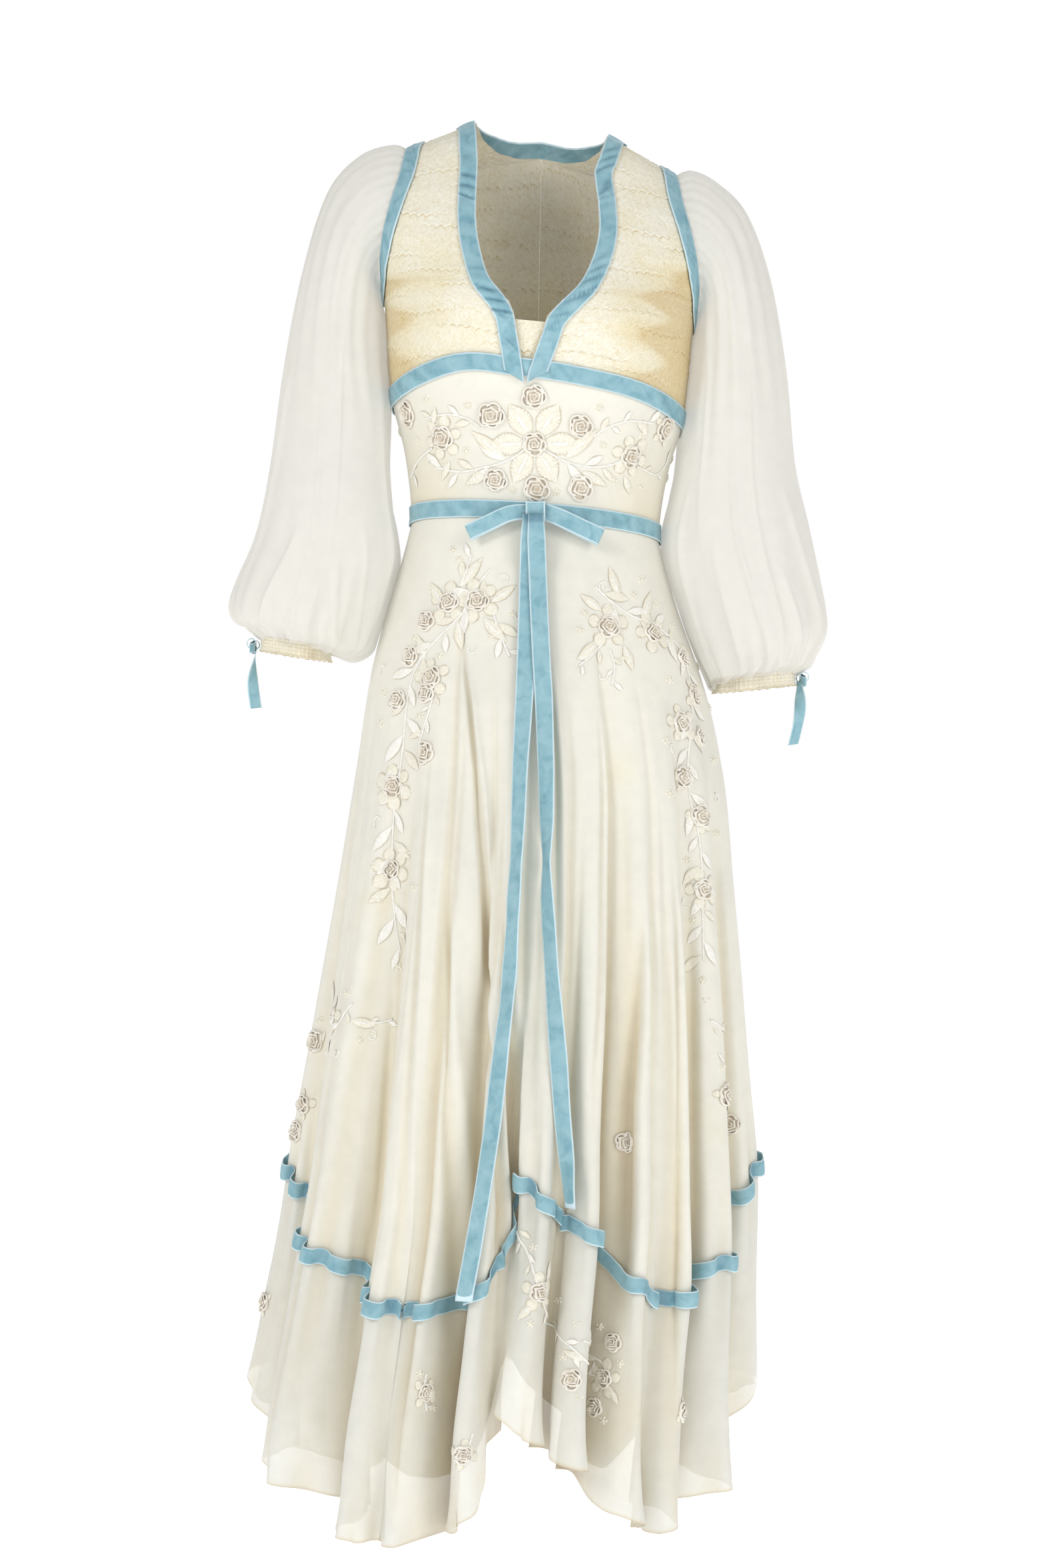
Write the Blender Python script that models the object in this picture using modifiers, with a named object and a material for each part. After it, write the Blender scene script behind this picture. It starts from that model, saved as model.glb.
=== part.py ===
"""Silk maxi dress, worn and hollow: lace bodice, raised-rose midriff, fluted skirt with a
handkerchief tier, bishop sleeves and velvet ribbons.

Lengths are millimetres until a mesh is made. The origin is where the shoulders hold the dress:
x = 0 between the shoulder seams, y = 0 on them, z = 0 at their mean height. The front faces -Y.
"""

import math

import bmesh
import bpy
import numpy as np
from mathutils import Vector as Point

# Driving sizes
MM = 0.001
WALL = 1.2
SEAM = 0.3
LIFT = 1.2
SEAM_TUCK = 0.9
RIBBON_WIDTH = 18.0
RIBBON_WALL = 1.2
HEM_RIBBON_WIDTH = 15.0
WAIST_DROP = 376.0
SHOULDER_X = 99.0
SHOULDER_SLOPE = 0.49
SLOPE_REACH = 110.0
TILT_WAIST = 0.076
TILT_SHOULDER = 0.100
LEAN_SHOULDER = 6.5
UNDERARM_DROP = 155.0
TIER_DEPTH = 216.0
LINING_SHORT = 48.0
LINING_INSET = 3.0
LINING_SHRINK = 0.37
LINING_FULL_DROP = 1250.0
WAIST_RISE = 9.0
LINING_SEAM = 0.003
LINING_START = 14.0
SKIRT_ROW_EASE = 0.95
WAIST_ROW = 0.98
TIER_SEAM_DROP = 2.2
RIBBON_END = 0.006
BODICE_COLUMNS = 9
BACK_COLUMNS = 7
SIDE_FRONT = math.pi / 2 - 0.0015
SKIRT_SIDE = math.pi / 2 - 0.0012
BACK_GAP = 0.0015
NECK_BACK_LOW = -27.0
INSET_TUCK = 7.0
INSET_BEHIND = 1.0
HEM_LIFT = 2.0
TAIL_OVER_HEM = 3.6
POINT_LIFT = 2.3
MARCH_STEP = 0.5
MIDRIFF_COLUMNS = 25
MIDRIFF_BACK_COLUMNS = 10
MIDRIFF_ROWS = 6
ROUND_COLUMNS = 49
DEEP_VALLEY = 0.18
DEEP_PHASES = (0, 0.23, 0.42, 0.58, 0.77)
SHALLOW_PHASES = (0, 0.33, 0.67)
FOLD_CLEAR = 0.02
SKIRT_ROWS = 9
TIER_ROWS = 4
LINING_COLUMNS = 17
LINING_ROWS = 4
CUFF_TAIL_OUT = 3.0
ARMHOLE_COLUMNS = 33
TAIL_ROWS = 25
TAIL_CLEAR = 1.2
TAIL_CROWN = 0.8
TAIL_START = 1.5
TAIL_ROOT = 8.6

# Colours
CREAM_SILK = (0.84, 0.78, 0.62)
CREAM_LACE = (0.86, 0.76, 0.52)
BLUE_VELVET = (0.20, 0.46, 0.56)
SHEER = (0.86, 0.82, 0.72)

# Torso sections: height, half width, front depth, back depth, squareness
TORSO = np.array((
    (-380, 121.5, 88, 82, 2.20),
    (-345, 125, 91, 81, 2.20),
    (-310, 131, 96, 82, 2.20),
    (-264, 143.5, 107, 86, 2.30),
    (-225, 148, 118, 90, 2.35),
    (-185, 151, 125, 95, 2.40),
    (-150, 155, 119, 99, 2.50),
    (-135, 159, 113, 101, 2.50),
    (-113, 163, 104, 102, 2.60),
    (-80, 161, 87, 96, 2.80),
    (-42, 153, 60, 74, 3.00),
    (-20, 145, 42, 50, 3.00),
    (-8, 139, 27, 31, 3.00),
    (0, 133.2, 0.5, 0.5, 3.00),
))

# Bust cups set by the darts
CUP_HEIGHT = -182.0
CUP_ACROSS = 72.0
CUP_RADIUS = 46.0
CUP_FULLNESS = 9.0

# Front neck edge: height, left x, right x
NECK_FRONT = np.array((
    (-380, -12.3, -11.8),
    (-256, -12.6, -11.2),
    (-238, -13.6, -10.0),
    (-205, -20, 1.5),
    (-180, -25.5, 10.5),
    (-173, -29, 17),
    (-166, -38, 25),
    (-150, -49, 38),
    (-124, -58, 51),
    (-90, -62, 56),
    (-60, -62, 54),
    (-42, -61.5, 51),
    (-20, -63, 58),
    (0, -65, 65),
))

FRONT_HEIGHTS = (-218, -200, -184, -170, -158, -150, -135, -113, -90, -66, -42, -28, -16, -8, -3, -0.8)
BACK_HEIGHTS = (-240, -205, -175, -150, -135, -113, -90, -66, -46, -28.5, -26, -20, -10, -4, -0.8)
POINT_HEIGHTS = (-252, -247, -241, -236, -231, -225)
INSET_HEIGHTS = (-236, -215, -195, -181)
INSET_COLUMNS = 5

# Back neck edge: height, x on either side
NECK_BACK = np.array((
    (-60, 0.4),
    (-28, 0.4),
    (-26, 24),
    (-20, 44),
    (-10, 58),
    (0, 65),
))

# Armhole edge: height, x on either side
ARMHOLE = np.array((
    (-155, 154.2),
    (-150, 154.0),
    (-135, 155.0),
    (-113, 153.0),
    (-80, 146.5),
    (-42, 138.0),
    (-20, 135.2),
    (-8, 133.8),
    (0, 132.9),
))

# Underbust seam: x, height
UNDERBUST = np.array((
    (-150, -276),
    (-107, -254),
    (-67, -239),
    (-13, -243),
    (11, -243),
    (79, -250),
    (108, -257),
    (150, -274),
))

# Skirt outline: height, left reach, right reach, depth in front, depth behind
SKIRT = np.array((
    (-1345, 300, 221, 232, 240),
    (-1254, 293, 219, 226, 232),
    (-1148, 271, 218, 215, 220),
    (-1043, 249, 218, 202, 206),
    (-937, 233, 213, 190, 194),
    (-832, 214, 206, 176, 180),
    (-726, 195, 197, 160, 164),
    (-620, 177, 187, 142, 150),
    (-515, 159, 163, 121, 134),
    (-450, 141, 141, 106, 112),
    (-410, 129, 129, 96, 95),
    (-380, 121.5, 121.5, 88, 82),
))

# Flutes: ridge angle, depth of the valley after it, drop at which that valley starts, lean
FLUTES = np.array((
    (-172, 0.26, 520, 0.10),
    (-150, 0.24, 600, -0.10),
    (-128, 0.25, 480, 0.10),
    (-106, 0.20, 640, 0.00),
    (-84, 0.17, 560, 0.10),
    (-59, 0.28, 470, 0.14),
    (-31.5, 0.10, 760, 0.00),
    (-21, 0.32, 520, 0.16),
    (-8, 0.15, 640, 0.00),
    (5, 0.16, 560, 0.00),
    (17, 0.31, 430, -0.16),
    (31.5, 0.12, 700, 0.00),
    (42, 0.26, 500, -0.10),
    (59, 0.26, 470, -0.16),
    (80, 0.18, 560, 0.00),
    (102, 0.24, 520, 0.10),
    (124, 0.22, 620, -0.10),
    (146, 0.26, 500, 0.00),
    (167, 0.24, 560, 0.10),
))

# Hem ribbon: angle round the skirt, drop below the shoulders
ZIGZAG = np.array((
    (-180, 1000),
    (-135, 1122),
    (-90, 985),
    (-70, 1045),
    (-58, 1078),
    (-42, 1096),
    (-31, 1118),
    (-22, 1110),
    (-14, 1088),
    (-9, 1042),
    (-3, 995),
    (4, 1028),
    (12, 1052),
    (20, 1074),
    (28, 1098),
    (35, 1115),
    (43, 1112),
    (52, 1100),
    (60, 1082),
    (75, 1012),
    (90, 982),
    (135, 1122),
    (180, 1000),
))

# Sleeve outlines seen from the front: outer x, outer z, inner x, inner z, half depth
SLEEVE_LEFT = np.array((
    (-150, 6, -155, -151, 58),
    (-196, -14, -157, -175, 66),
    (-227, -62, -156, -205, 70),
    (-241, -140, -153, -245, 72),
    (-249, -225, -147, -290, 72),
    (-262, -315, -142, -345, 74),
    (-276, -383, -140, -400, 78),
    (-294, -430, -150, -455, 82),
    (-303, -460, -158, -486, 80),
    (-300, -478, -163, -502, 74),
    (-288, -486, -180, -509, 60),
    (-272, -486, -201, -497, 41),
))
SLEEVE_RIGHT = np.array((
    (164, -18, 161, -178, 58),
    (198, -40, 161, -200, 66),
    (228, -82, 158, -230, 70),
    (243, -150, 154, -268, 72),
    (248, -225, 148, -305, 72),
    (257, -315, 137, -352, 74),
    (270, -375, 134, -408, 78),
    (281, -430, 150, -465, 82),
    (289, -472, 164, -505, 80),
    (288, -502, 171, -529, 74),
    (277, -519, 174, -536, 60),
    (258, -520, 175, -528, 43),
))
SLEEVE_COLUMNS = 24
SLEEVE_GAP = 0.6
UNDERARM_CLEAR = 5.0
HEAD_BLEND = 5
HEAD_STEP = 6.0
CUFF_HEIGHT = 10.0
CUFF_SEAM = 0.6
FRILL_HEIGHT = 3.5
GATHER_CUFF = 2.2

# Raised roses on the midriff: x, height (unleaned torso sizes)
ROSE_RADIUS = 10.5
ROSE_RISE = 5.0
ROSE_TOP = 0.72
ROSE_CLEAR = 11.0
MIDRIFF_ROSES = np.array((
    (-4, -262),
    (-44, -281),
    (42, -283),
    (-2, -305),
    (-118, -281),
    (-88, -303),
    (-39, -340),
    (1, -346),
    (43, -342),
    (90, -307),
    (118, -280),
))

# Raised roses on the skirt: angle round the skirt, drop below the shoulders
SKIRT_ROSES = np.array((
    (-36, 455),
    (-47, 480),
    (-58, 512),
    (-47, 533),
    (-55, 553),
    (-51, 605),
    (-57, 640),
    (-57, 720),
    (34, 458),
    (52, 484),
    (62, 508),
    (66, 545),
    (62, 577),
    (72, 590),
    (60, 612),
    (75, 664),
    (74, 735),
    (-84, 862),
))
TIER_ROSES = np.array((
    (3, 1118),
    (13, 1160),
    (20, 1166),
    (16, 1203),
    (60, 1232),
    (-20, 1222),
))

# Bow at the waist
KNOT_X = 0.0
KNOT_SIZE = (18.0, 7.0, 17.0)
KNOT_ROUND = 0.28
LOOP_LENGTH = 66.0
LOOP_WIDTH = 17.0
LOOP_THICK = 7.0
LOOP_BACK = 4.0
LOOP_GAP = 1.5
LOOP_SIDES = 12
BOW_Y = -96.0
BOW_Z = -366.0
LOOP_TIPS = ((-67.0, -380.0), (65.0, -384.0))

# Bow loop sections: share of the length, width, thickness
LOOP_RINGS = (
    (0.00, 0.55, 0.55),
    (0.18, 0.72, 0.95),
    (0.45, 0.95, 1.00),
    (0.80, 1.00, 0.75),
    (1.00, 1.00, 0.22),
)

# Cuff bows: knot x, knot z, tail end x, tail end z
CUFF_BOWS = (
    (-271.3, -493.5, -275.0, -556.0),
    (257.0, -526.5, 254.0, -592.0),
)
CUFF_TAIL_WIDTH = 12.0
CUFF_TAIL_ROWS = 6
CUFF_TAIL_SWAY = 2.0
CUFF_TAIL_WALL = 0.9
CUFF_KNOT = (7.0, 8.0, 8.0)
CUFF_KNOT_OUT = 4.0
CUFF_LOOP = 15.0
CUFF_LOOP_DROOP = 4.0
CUFF_LOOP_WIDTH = 5.0
CUFF_LOOP_PUFF = 2.2

# Cuff bow loop sections: share of the length, share of the width
CUFF_LOOP_RINGS = (
    (0.00, 0.50),
    (0.35, 0.90),
    (0.75, 1.00),
    (1.00, 0.75),
)
TAIL_WIDTH = 17.5

# Tails, from the knot down: x of the left tail, x of the right tail, height
TAILS = np.array((
    (-4.6, 4.6, -374.9),
    (-9.3, 9.3, -398),
    (-10, 9.2, -560),
    (-16, 8.5, -730),
    (-21, 10, -850),
    (-30, 18, -940),
    (-42, 24, -1030),
    (-56, 31, -1120),
))
TAIL_LEFT_END = 1108.0
TAIL_RIGHT_END = 1020.0


def column(rows, key, value, at):
    """Reads one column of a table, smoothly enough for cloth, at the given key."""
    order = np.argsort(rows[:, key])
    return np.interp(at, rows[order, key], rows[order, value])


def smooth_column(rows, key, value, at):
    """Reads one column of a table along a cubic through its rows."""
    order = np.argsort(rows[:, key])
    keys = rows[order, key]
    values = rows[order, value]
    slopes = np.gradient(values, keys)
    at = np.clip(at, keys[0], keys[-1])
    index = np.clip(np.searchsorted(keys, at, side="right") - 1, 0, len(keys) - 2)
    span = keys[index + 1] - keys[index]
    t = (at - keys[index]) / span
    rise = values[index + 1] - values[index]
    start = slopes[index] * span
    end = slopes[index + 1] * span
    curve = start * t * (1 - t) ** 2 - end * t ** 2 * (1 - t)
    return values[index] + rise * t * t * (3 - 2 * t) + curve


def smoothstep(low, high, value):
    t = np.clip((value - low) / (high - low), 0, 1)
    return t * t * (3 - 2 * t)


def pose(x, y, z):
    """Leans and tilts the level torso into the pose, fading out down the skirt."""
    t = np.clip((z + WAIST_DROP) / WAIST_DROP, 0, 1)
    fade = smoothstep(-700, -380, z)
    slope = (TILT_WAIST + (TILT_SHOULDER - TILT_WAIST) * t) * fade
    return np.stack((x + LEAN_SHOULDER * t, y, z - slope * x), axis=-1)


def shoulder_rise(x, z):
    """Height that the shoulder slope adds: the neck side is higher than the arm side."""
    near_top = np.clip((z + SLOPE_REACH) / SLOPE_REACH, 0, 1) ** 2
    return SHOULDER_SLOPE * (SHOULDER_X - np.abs(x)) * near_top


def rounded(angle, power):
    """Unit shares across and forward of a section that is squarer than an ellipse."""
    across = np.sin(angle)
    forward = np.cos(angle)
    size = (np.abs(across) ** power + np.abs(forward) ** power) ** (-1 / power)
    return across * size, forward * size


def torso(phi, z):
    """Point of the bodice surface: phi is 0 in front, pi/2 at +X and pi behind."""
    across, forward = rounded(phi, smooth_column(TORSO, 0, 4, z))
    x = smooth_column(TORSO, 0, 1, z) * across
    depth = np.where(forward > 0, smooth_column(TORSO, 0, 2, z), smooth_column(TORSO, 0, 3, z))
    y = -depth * forward
    away = (np.abs(x) - CUP_ACROSS) ** 2 + (z - CUP_HEIGHT) ** 2
    cup = CUP_FULLNESS * np.exp(-away / CUP_RADIUS ** 2)
    y = y - cup * np.clip(forward * 2, 0, 1)
    return pose(x, y, z + shoulder_rise(x, z))


def body(phi, z):
    """The bodice above the waist seam and the skirt below it, as one surface."""
    below = (z < waist_height(phi))[..., None]
    return np.where(below, skirt(phi, z), torso(phi, z))


def waist_height(phi):
    return -WAIST_DROP - 1 + WAIST_RISE * np.clip(np.cos(phi), 0, 1)


def underbust_height(phi):
    """The seam below the lace, which arches up under the bust and runs level behind."""
    x = smooth_column(TORSO, 0, 1, -250.0) * np.sin(phi)
    return np.where(np.cos(phi) > 0, column(UNDERBUST, 0, 1, x), UNDERBUST[0, 1])


def normal_of(surface, u, v):
    """Outward unit normal of a surface that runs to +X in front as u grows and down as v falls."""
    du = 0.002
    dv = 0.5
    along_u = surface(u + du, v) - surface(u - du, v)
    along_v = surface(u, v + dv) - surface(u, v - dv)
    normal = np.cross(along_u, along_v)
    return normal / np.maximum(np.linalg.norm(normal, axis=-1, keepdims=True), 1e-9)


def angle_at(x, z):
    """The torso angle at which the front surface has this x."""
    half = smooth_column(TORSO, 0, 1, z)
    power = smooth_column(TORSO, 0, 4, z)
    across = np.clip(np.abs(x) / half, 0, 1)
    return np.sign(x) * np.arctan2(across, (1 - across ** power) ** (1 / power))


def envelope(angle, z):
    """Half reach across, depth and middle of the skirt's outline at a height."""
    left = smooth_column(SKIRT, 0, 1, z)
    right = smooth_column(SKIRT, 0, 2, z)
    depth = np.where(np.cos(angle) > 0, smooth_column(SKIRT, 0, 3, z), smooth_column(SKIRT, 0, 4, z))
    return (left + right) / 2, depth, (right - left) / 2


def flute(angle, z):
    """Inward share of the radius and sideways lean of the folds at an angle and height."""
    degrees = np.degrees(angle)
    degrees = (degrees + 180) % 360 - 180
    ridges = np.append(FLUTES[:, 0], FLUTES[0, 0] + 360)
    wrapped = np.where(degrees < ridges[0], degrees + 360, degrees)
    index = np.clip(np.searchsorted(ridges, wrapped, side="right") - 1, 0, len(FLUTES) - 1)
    gap = ridges[index + 1] - ridges[index]
    phase = (wrapped - ridges[index]) / gap
    start = FLUTES[index, 2]
    grown = np.clip((-z - start) / (1250 - start), 0, 1.1) ** 1.15
    inward = FLUTES[index, 1] * grown * np.sin(np.pi * phase) ** 2
    rounder = 0.55 * grown * np.sin(2 * np.pi * phase) / (2 * np.pi)
    lean = FLUTES[index, 3] * grown * np.sin(np.pi * phase) ** 2
    return inward, np.radians((rounder + lean) * gap)


def skirt(angle, z):
    """Point of the fluted skirt: angle is 0 in front and pi/2 at +X."""
    half, depth, middle = envelope(angle, z)
    inward, turn = flute(angle, z)
    across, forward = rounded(angle + turn, 2 + 0.2 * smoothstep(-460, -376, z))
    reach = 1 - inward
    return pose(middle + half * reach * across, -depth * reach * forward, z)


def lining(angle, z):
    """The plain inner skirt, clear of the deepest valleys of the outer one."""
    half, depth, middle = envelope(angle, z)
    hip = smoothstep(-WAIST_DROP, -LINING_FULL_DROP, z)
    reach = 1 - LINING_SHRINK * hip
    inset = LINING_INSET * smoothstep(-WAIST_DROP, -WAIST_DROP - 30, z)
    across, forward = rounded(angle, 2.1)
    x = middle + (half * reach - inset) * across
    return pose(x, -(depth * reach - inset) * forward, z)


def ribbon_height(angle):
    return -column(ZIGZAG, 0, 1, (np.degrees(angle) + 180) % 360 - 180)


def hem_height(angle):
    return ribbon_height(angle) - TIER_DEPTH


def material(name, colour, roughness):
    """A plain Principled material of the piece's own colour."""
    made = bpy.data.materials.new(name)
    made.use_nodes = True
    shader = made.node_tree.nodes["Principled BSDF"]
    shader.inputs["Base Color"].default_value = (*colour, 1)
    shader.inputs["Roughness"].default_value = roughness
    shader.inputs["Metallic"].default_value = 0
    return made


def link(made, name, colour, roughness=0.7):
    """Names a mesh object, gives it its material and puts it in the dress."""
    made.name = name
    made.data.name = name
    made.data.materials.append(material(name, colour, roughness))
    made.data.shade_smooth()
    collection.objects.link(made)
    return made


def grid_mesh(points, loop=False):
    """A grid primitive whose points are moved to the worked-out surface points."""
    rows, columns = points.shape[:2]
    mesh = bpy.data.meshes.new("grid")
    shape = bmesh.new()
    bmesh.ops.create_grid(shape, x_segments=columns - 1, y_segments=rows - 1, size=1)
    shape.verts.ensure_lookup_table()
    for vert in shape.verts:
        column_at = round((vert.co.x + 1) / 2 * (columns - 1))
        row_at = round((vert.co.y + 1) / 2 * (rows - 1))
        vert.co = points[row_at, column_at] * MM
    if loop:
        bmesh.ops.remove_doubles(shape, verts=shape.verts, dist=0.00001)
    shape.to_mesh(mesh)
    shape.free()
    return mesh


def turned_out(points, middle):
    """The same grid, with its columns reversed where its faces would look at the middle."""
    along_columns = np.gradient(points, axis=1)
    along_rows = np.gradient(points, axis=0)
    facing = (np.cross(along_columns, along_rows) * (points - middle)).sum()
    return points if facing > 0 else points[:, ::-1]


def sheet(name, points, colour, wall=WALL, outward=False, loop=False, middle=None):
    """A cloth wall: an open surface made thick by Solidify, on its inner side unless told."""
    if middle is None:
        middle = points.mean(axis=(0, 1)) * (0, 0, 1)
    made = bpy.data.objects.new(name, grid_mesh(turned_out(points, middle), loop))
    link(made, name, colour)
    solid = made.modifiers.new("Wall", "SOLIDIFY")
    solid.thickness = wall * MM
    solid.offset = 1 if outward else -1
    solid.use_even_offset = False
    return made


def between(first, last, count):
    return np.linspace(first, last, count)


def blend(low, high, share):
    return low + (high - low) * share


def march(surface, u, v, sideways, distance):
    """Walks over a surface from (u, v) in short steps, in the direction given at each point."""
    du = 0.002
    dv = 0.5
    count = max(1, math.ceil(abs(distance) / MARCH_STEP))
    stride = distance / count
    for _ in range(count):
        grad_u = (surface(u + du, v) - surface(u - du, v)) / (2 * du)
        grad_v = (surface(u, v + dv) - surface(u, v - dv)) / (2 * dv)
        normal = np.cross(grad_u, grad_v)
        normal /= np.linalg.norm(normal, axis=-1, keepdims=True)
        heading = sideways - (sideways * normal).sum(-1, keepdims=True) * normal
        heading /= np.linalg.norm(heading, axis=-1, keepdims=True)
        uu = (grad_u * grad_u).sum(-1)
        uv = (grad_u * grad_v).sum(-1)
        vv = (grad_v * grad_v).sum(-1)
        su = (grad_u * heading).sum(-1)
        sv = (grad_v * heading).sum(-1)
        area = uu * vv - uv * uv
        u = u + (su * vv - sv * uv) / area * stride
        v = v + (sv * uu - su * uv) / area * stride
    return u, v


def strip_points(surface, path_u, path_v, near, far, lift, across=3):
    """A ribbon's points on a surface, from near to far to the left of a path seen from outside."""
    centre = surface(path_u, path_v)
    along = np.gradient(centre, axis=0)
    along /= np.linalg.norm(along, axis=-1, keepdims=True)
    sideways = np.cross(normal_of(surface, path_u, path_v), along)
    raised = np.broadcast_to(lift, path_u.shape)[:, None]
    rows = []
    for offset in between(near, far, across):
        u, v = march(surface, path_u, path_v, sideways, offset)
        rows.append(surface(u, v) + raised * normal_of(surface, u, v))
    return np.stack(rows)


def bodice_front(name, side):
    """A lace front: side -1 is at the left of the view, +1 at the right."""
    heights = FRONT_HEIGHTS
    share = between(0, 1, BODICE_COLUMNS)
    rows = []
    for z in heights:
        neck = angle_at(column(NECK_FRONT, 0, 1 if side < 0 else 2, z), z)
        arm = side * SIDE_FRONT if z < -UNDERARM_DROP else angle_at(side * column(ARMHOLE, 0, 1, z), z)
        rows.append(torso(blend(neck, arm, share), np.full_like(share, z)))
    neck = angle_at(NECK_FRONT[0, 1 if side < 0 else 2], -250.0)
    phi = blend(neck, side * SIDE_FRONT, share)
    seam = underbust_height(phi) + SEAM_TUCK
    rows.insert(0, torso(phi, blend(seam, heights[0], 0.5)))
    rows.insert(0, torso(phi, seam))
    return sheet(name, np.stack(rows), CREAM_LACE)


def bodice_back(name, side):
    """A plain lace back, from the side seam to the centre-back closure."""
    heights = BACK_HEIGHTS
    share = between(0, 1, BACK_COLUMNS)
    rows = []
    for z in heights:
        neck = angle_at(side * column(NECK_BACK, 0, 1, z), z)
        arm = side * SIDE_FRONT if z < -UNDERARM_DROP else angle_at(side * column(ARMHOLE, 0, 1, z), z)
        rows.append(torso(side * math.pi - blend(neck, arm, share), np.full_like(share, z)))
    phi = side * (math.pi - blend(BACK_GAP, SIDE_FRONT, share))
    rows.insert(0, torso(phi, underbust_height(phi) + SEAM_TUCK))
    return sheet(name, np.stack(rows), CREAM_LACE)


def notch_inset():
    """The small lace panel that fills the bottom of the neckline from behind."""
    rows = []
    for z in INSET_HEIGHTS:
        left = angle_at(column(NECK_FRONT, 0, 1, z) - INSET_TUCK, z)
        right = angle_at(column(NECK_FRONT, 0, 2, z) + INSET_TUCK, z)
        phi = between(left, right, INSET_COLUMNS)
        height = np.full_like(phi, z)
        rows.append(torso(phi, height) - (WALL + INSET_BEHIND) * normal_of(torso, phi, height))
    return sheet("notch_inset", np.stack(rows), CREAM_LACE)


def band(first, last, columns, low, high, rows):
    """Torso points between two seams, from one angle to another."""
    phi = between(first, last, columns)
    return np.stack([torso(phi, blend(low(phi), high(phi), t)) for t in between(0, 1, rows)])


def below_underbust(phi):
    return underbust_height(phi) - SEAM_TUCK


def above_waist(phi):
    return waist_height(phi) + SEAM / 2


def fold_angles(first, last):
    """Angles between two seams that follow each flute: closer together in a deep valley."""
    angles = [first]
    for index, (ridge, depth, _, _) in enumerate(FLUTES):
        after = FLUTES[(index + 1) % len(FLUTES), 0]
        gap = (after - ridge) % 360
        phases = DEEP_PHASES if depth > DEEP_VALLEY else SHALLOW_PHASES
        for phase in phases:
            for turn in (-360, 0, 360):
                angle = math.radians(ridge + gap * phase + turn)
                if first + FOLD_CLEAR < angle < last - FOLD_CLEAR:
                    angles.append(angle)
    return np.array(sorted(angles) + [last])


def skirt_points(first, last, rows):
    """The skirt from the waist seam to the hem ribbon, bottom row first."""
    angle = fold_angles(first, last)
    low = ribbon_height(angle)
    high = waist_height(angle) - SEAM / 2
    shares = np.append(between(0, 1, rows)[:-1] ** SKIRT_ROW_EASE, (WAIST_ROW, 1))
    return np.stack([skirt(angle, blend(low, high, t)) for t in shares])


def tier_points(first, last, rows):
    """The handkerchief tier, from the rolled hem to the seam under the ribbon."""
    angle = fold_angles(first, last)
    low = hem_height(angle)
    high = ribbon_height(angle) - SEAM - TIER_SEAM_DROP
    return np.stack([skirt(angle, blend(low, high, t)) for t in between(0, 1, rows)])


def lining_points(first, last, columns, rows):
    angle = between(first + LINING_SEAM, last - LINING_SEAM, columns)
    low = hem_height(angle) + LINING_SHORT
    high = np.full_like(angle, -WAIST_DROP - LINING_START)
    return np.stack([lining(angle, blend(low, high, t)) for t in between(0, 1, rows)])


def armhole_loop(side, columns, out=0.0):
    """The armhole edge as a ring: top of the shoulder, front, underarm, back, top again."""
    turn = between(0, 2 * math.pi, columns)
    z = -UNDERARM_DROP / 2 * (1 - np.cos(turn))
    front = angle_at(side * column(ARMHOLE, 0, 1, z), z)
    phi = np.where(turn <= math.pi, front, side * math.pi - front)
    ring = torso(phi, z)
    under = ((1 - np.cos(turn)) / 2) ** 3
    ring[:, 0] += side * out * (1 + UNDERARM_CLEAR * under)
    return ring, phi, z


def sleeve_rings(side, rows, columns):
    """Rings of the bishop sleeve, from the armhole to the cuff."""
    head, _, _ = armhole_loop(side, columns, SLEEVE_GAP)
    turn = between(0, 2 * math.pi, columns)
    waves = np.where(np.arange(columns) % 2 == 0, 1.0, -1.0)
    rings = [head]
    count = len(rows)
    for index, (outer_x, outer_z, inner_x, inner_z, depth) in enumerate(rows):
        middle = np.array(((outer_x + inner_x) / 2, 0, (outer_z + inner_z) / 2))
        half = np.array(((outer_x - inner_x) / 2, 0, (outer_z - inner_z) / 2))
        ring = middle + np.cos(turn)[:, None] * half
        ring[:, 1] -= depth * np.sin(turn)
        share = 1 - min(1.0, (index + 1) / HEAD_BLEND)
        ring = blend(ring, head + side * (index + 1) * np.array((HEAD_STEP, 0, 0)), share * 0.7)
        gather = GATHER_CUFF * smoothstep(count - 5, count - 2, index)
        away = ring - middle
        away /= np.linalg.norm(away, axis=1, keepdims=True)
        ring = ring + away * (waves * gather)[:, None]
        ring[-1] = ring[0]
        rings.append(ring)
    return np.stack(rings)


def cuff_rings(side, rows, columns):
    """The shirred elastic band below the sleeve, with its small frill."""
    outer_x, outer_z, inner_x, inner_z, depth = rows[-1]
    turn = between(0, 2 * math.pi, columns)
    waves = np.where(np.arange(columns) % 2 == 0, 1.0, -1.0)
    rings = []
    for drop, swell, wave in ((CUFF_SEAM, -1.5, 0.5), (CUFF_HEIGHT * 0.5, -2.0, 0.5),
                              (CUFF_HEIGHT, -2.0, 0.5), (CUFF_HEIGHT + FRILL_HEIGHT, 0.5, 1.3)):
        middle = np.array(((outer_x + inner_x) / 2, 0, (outer_z + inner_z) / 2 - drop))
        half = np.array(((outer_x - inner_x) / 2, 0, (outer_z - inner_z) / 2))
        ring = middle + np.cos(turn)[:, None] * half
        ring[:, 1] -= depth * np.sin(turn)
        away = ring - middle
        away /= np.linalg.norm(away, axis=1, keepdims=True)
        ring = ring + away * (swell + wave * waves)[:, None]
        ring[-1] = ring[0]
        rings.append(ring)
    return np.stack(rings)


def sleeve(name, side, rows):
    rings = sleeve_rings(side, rows, SLEEVE_COLUMNS + 1)
    return sheet(name, rings, SHEER, loop=True, middle=rings.mean(axis=1, keepdims=True))


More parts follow.
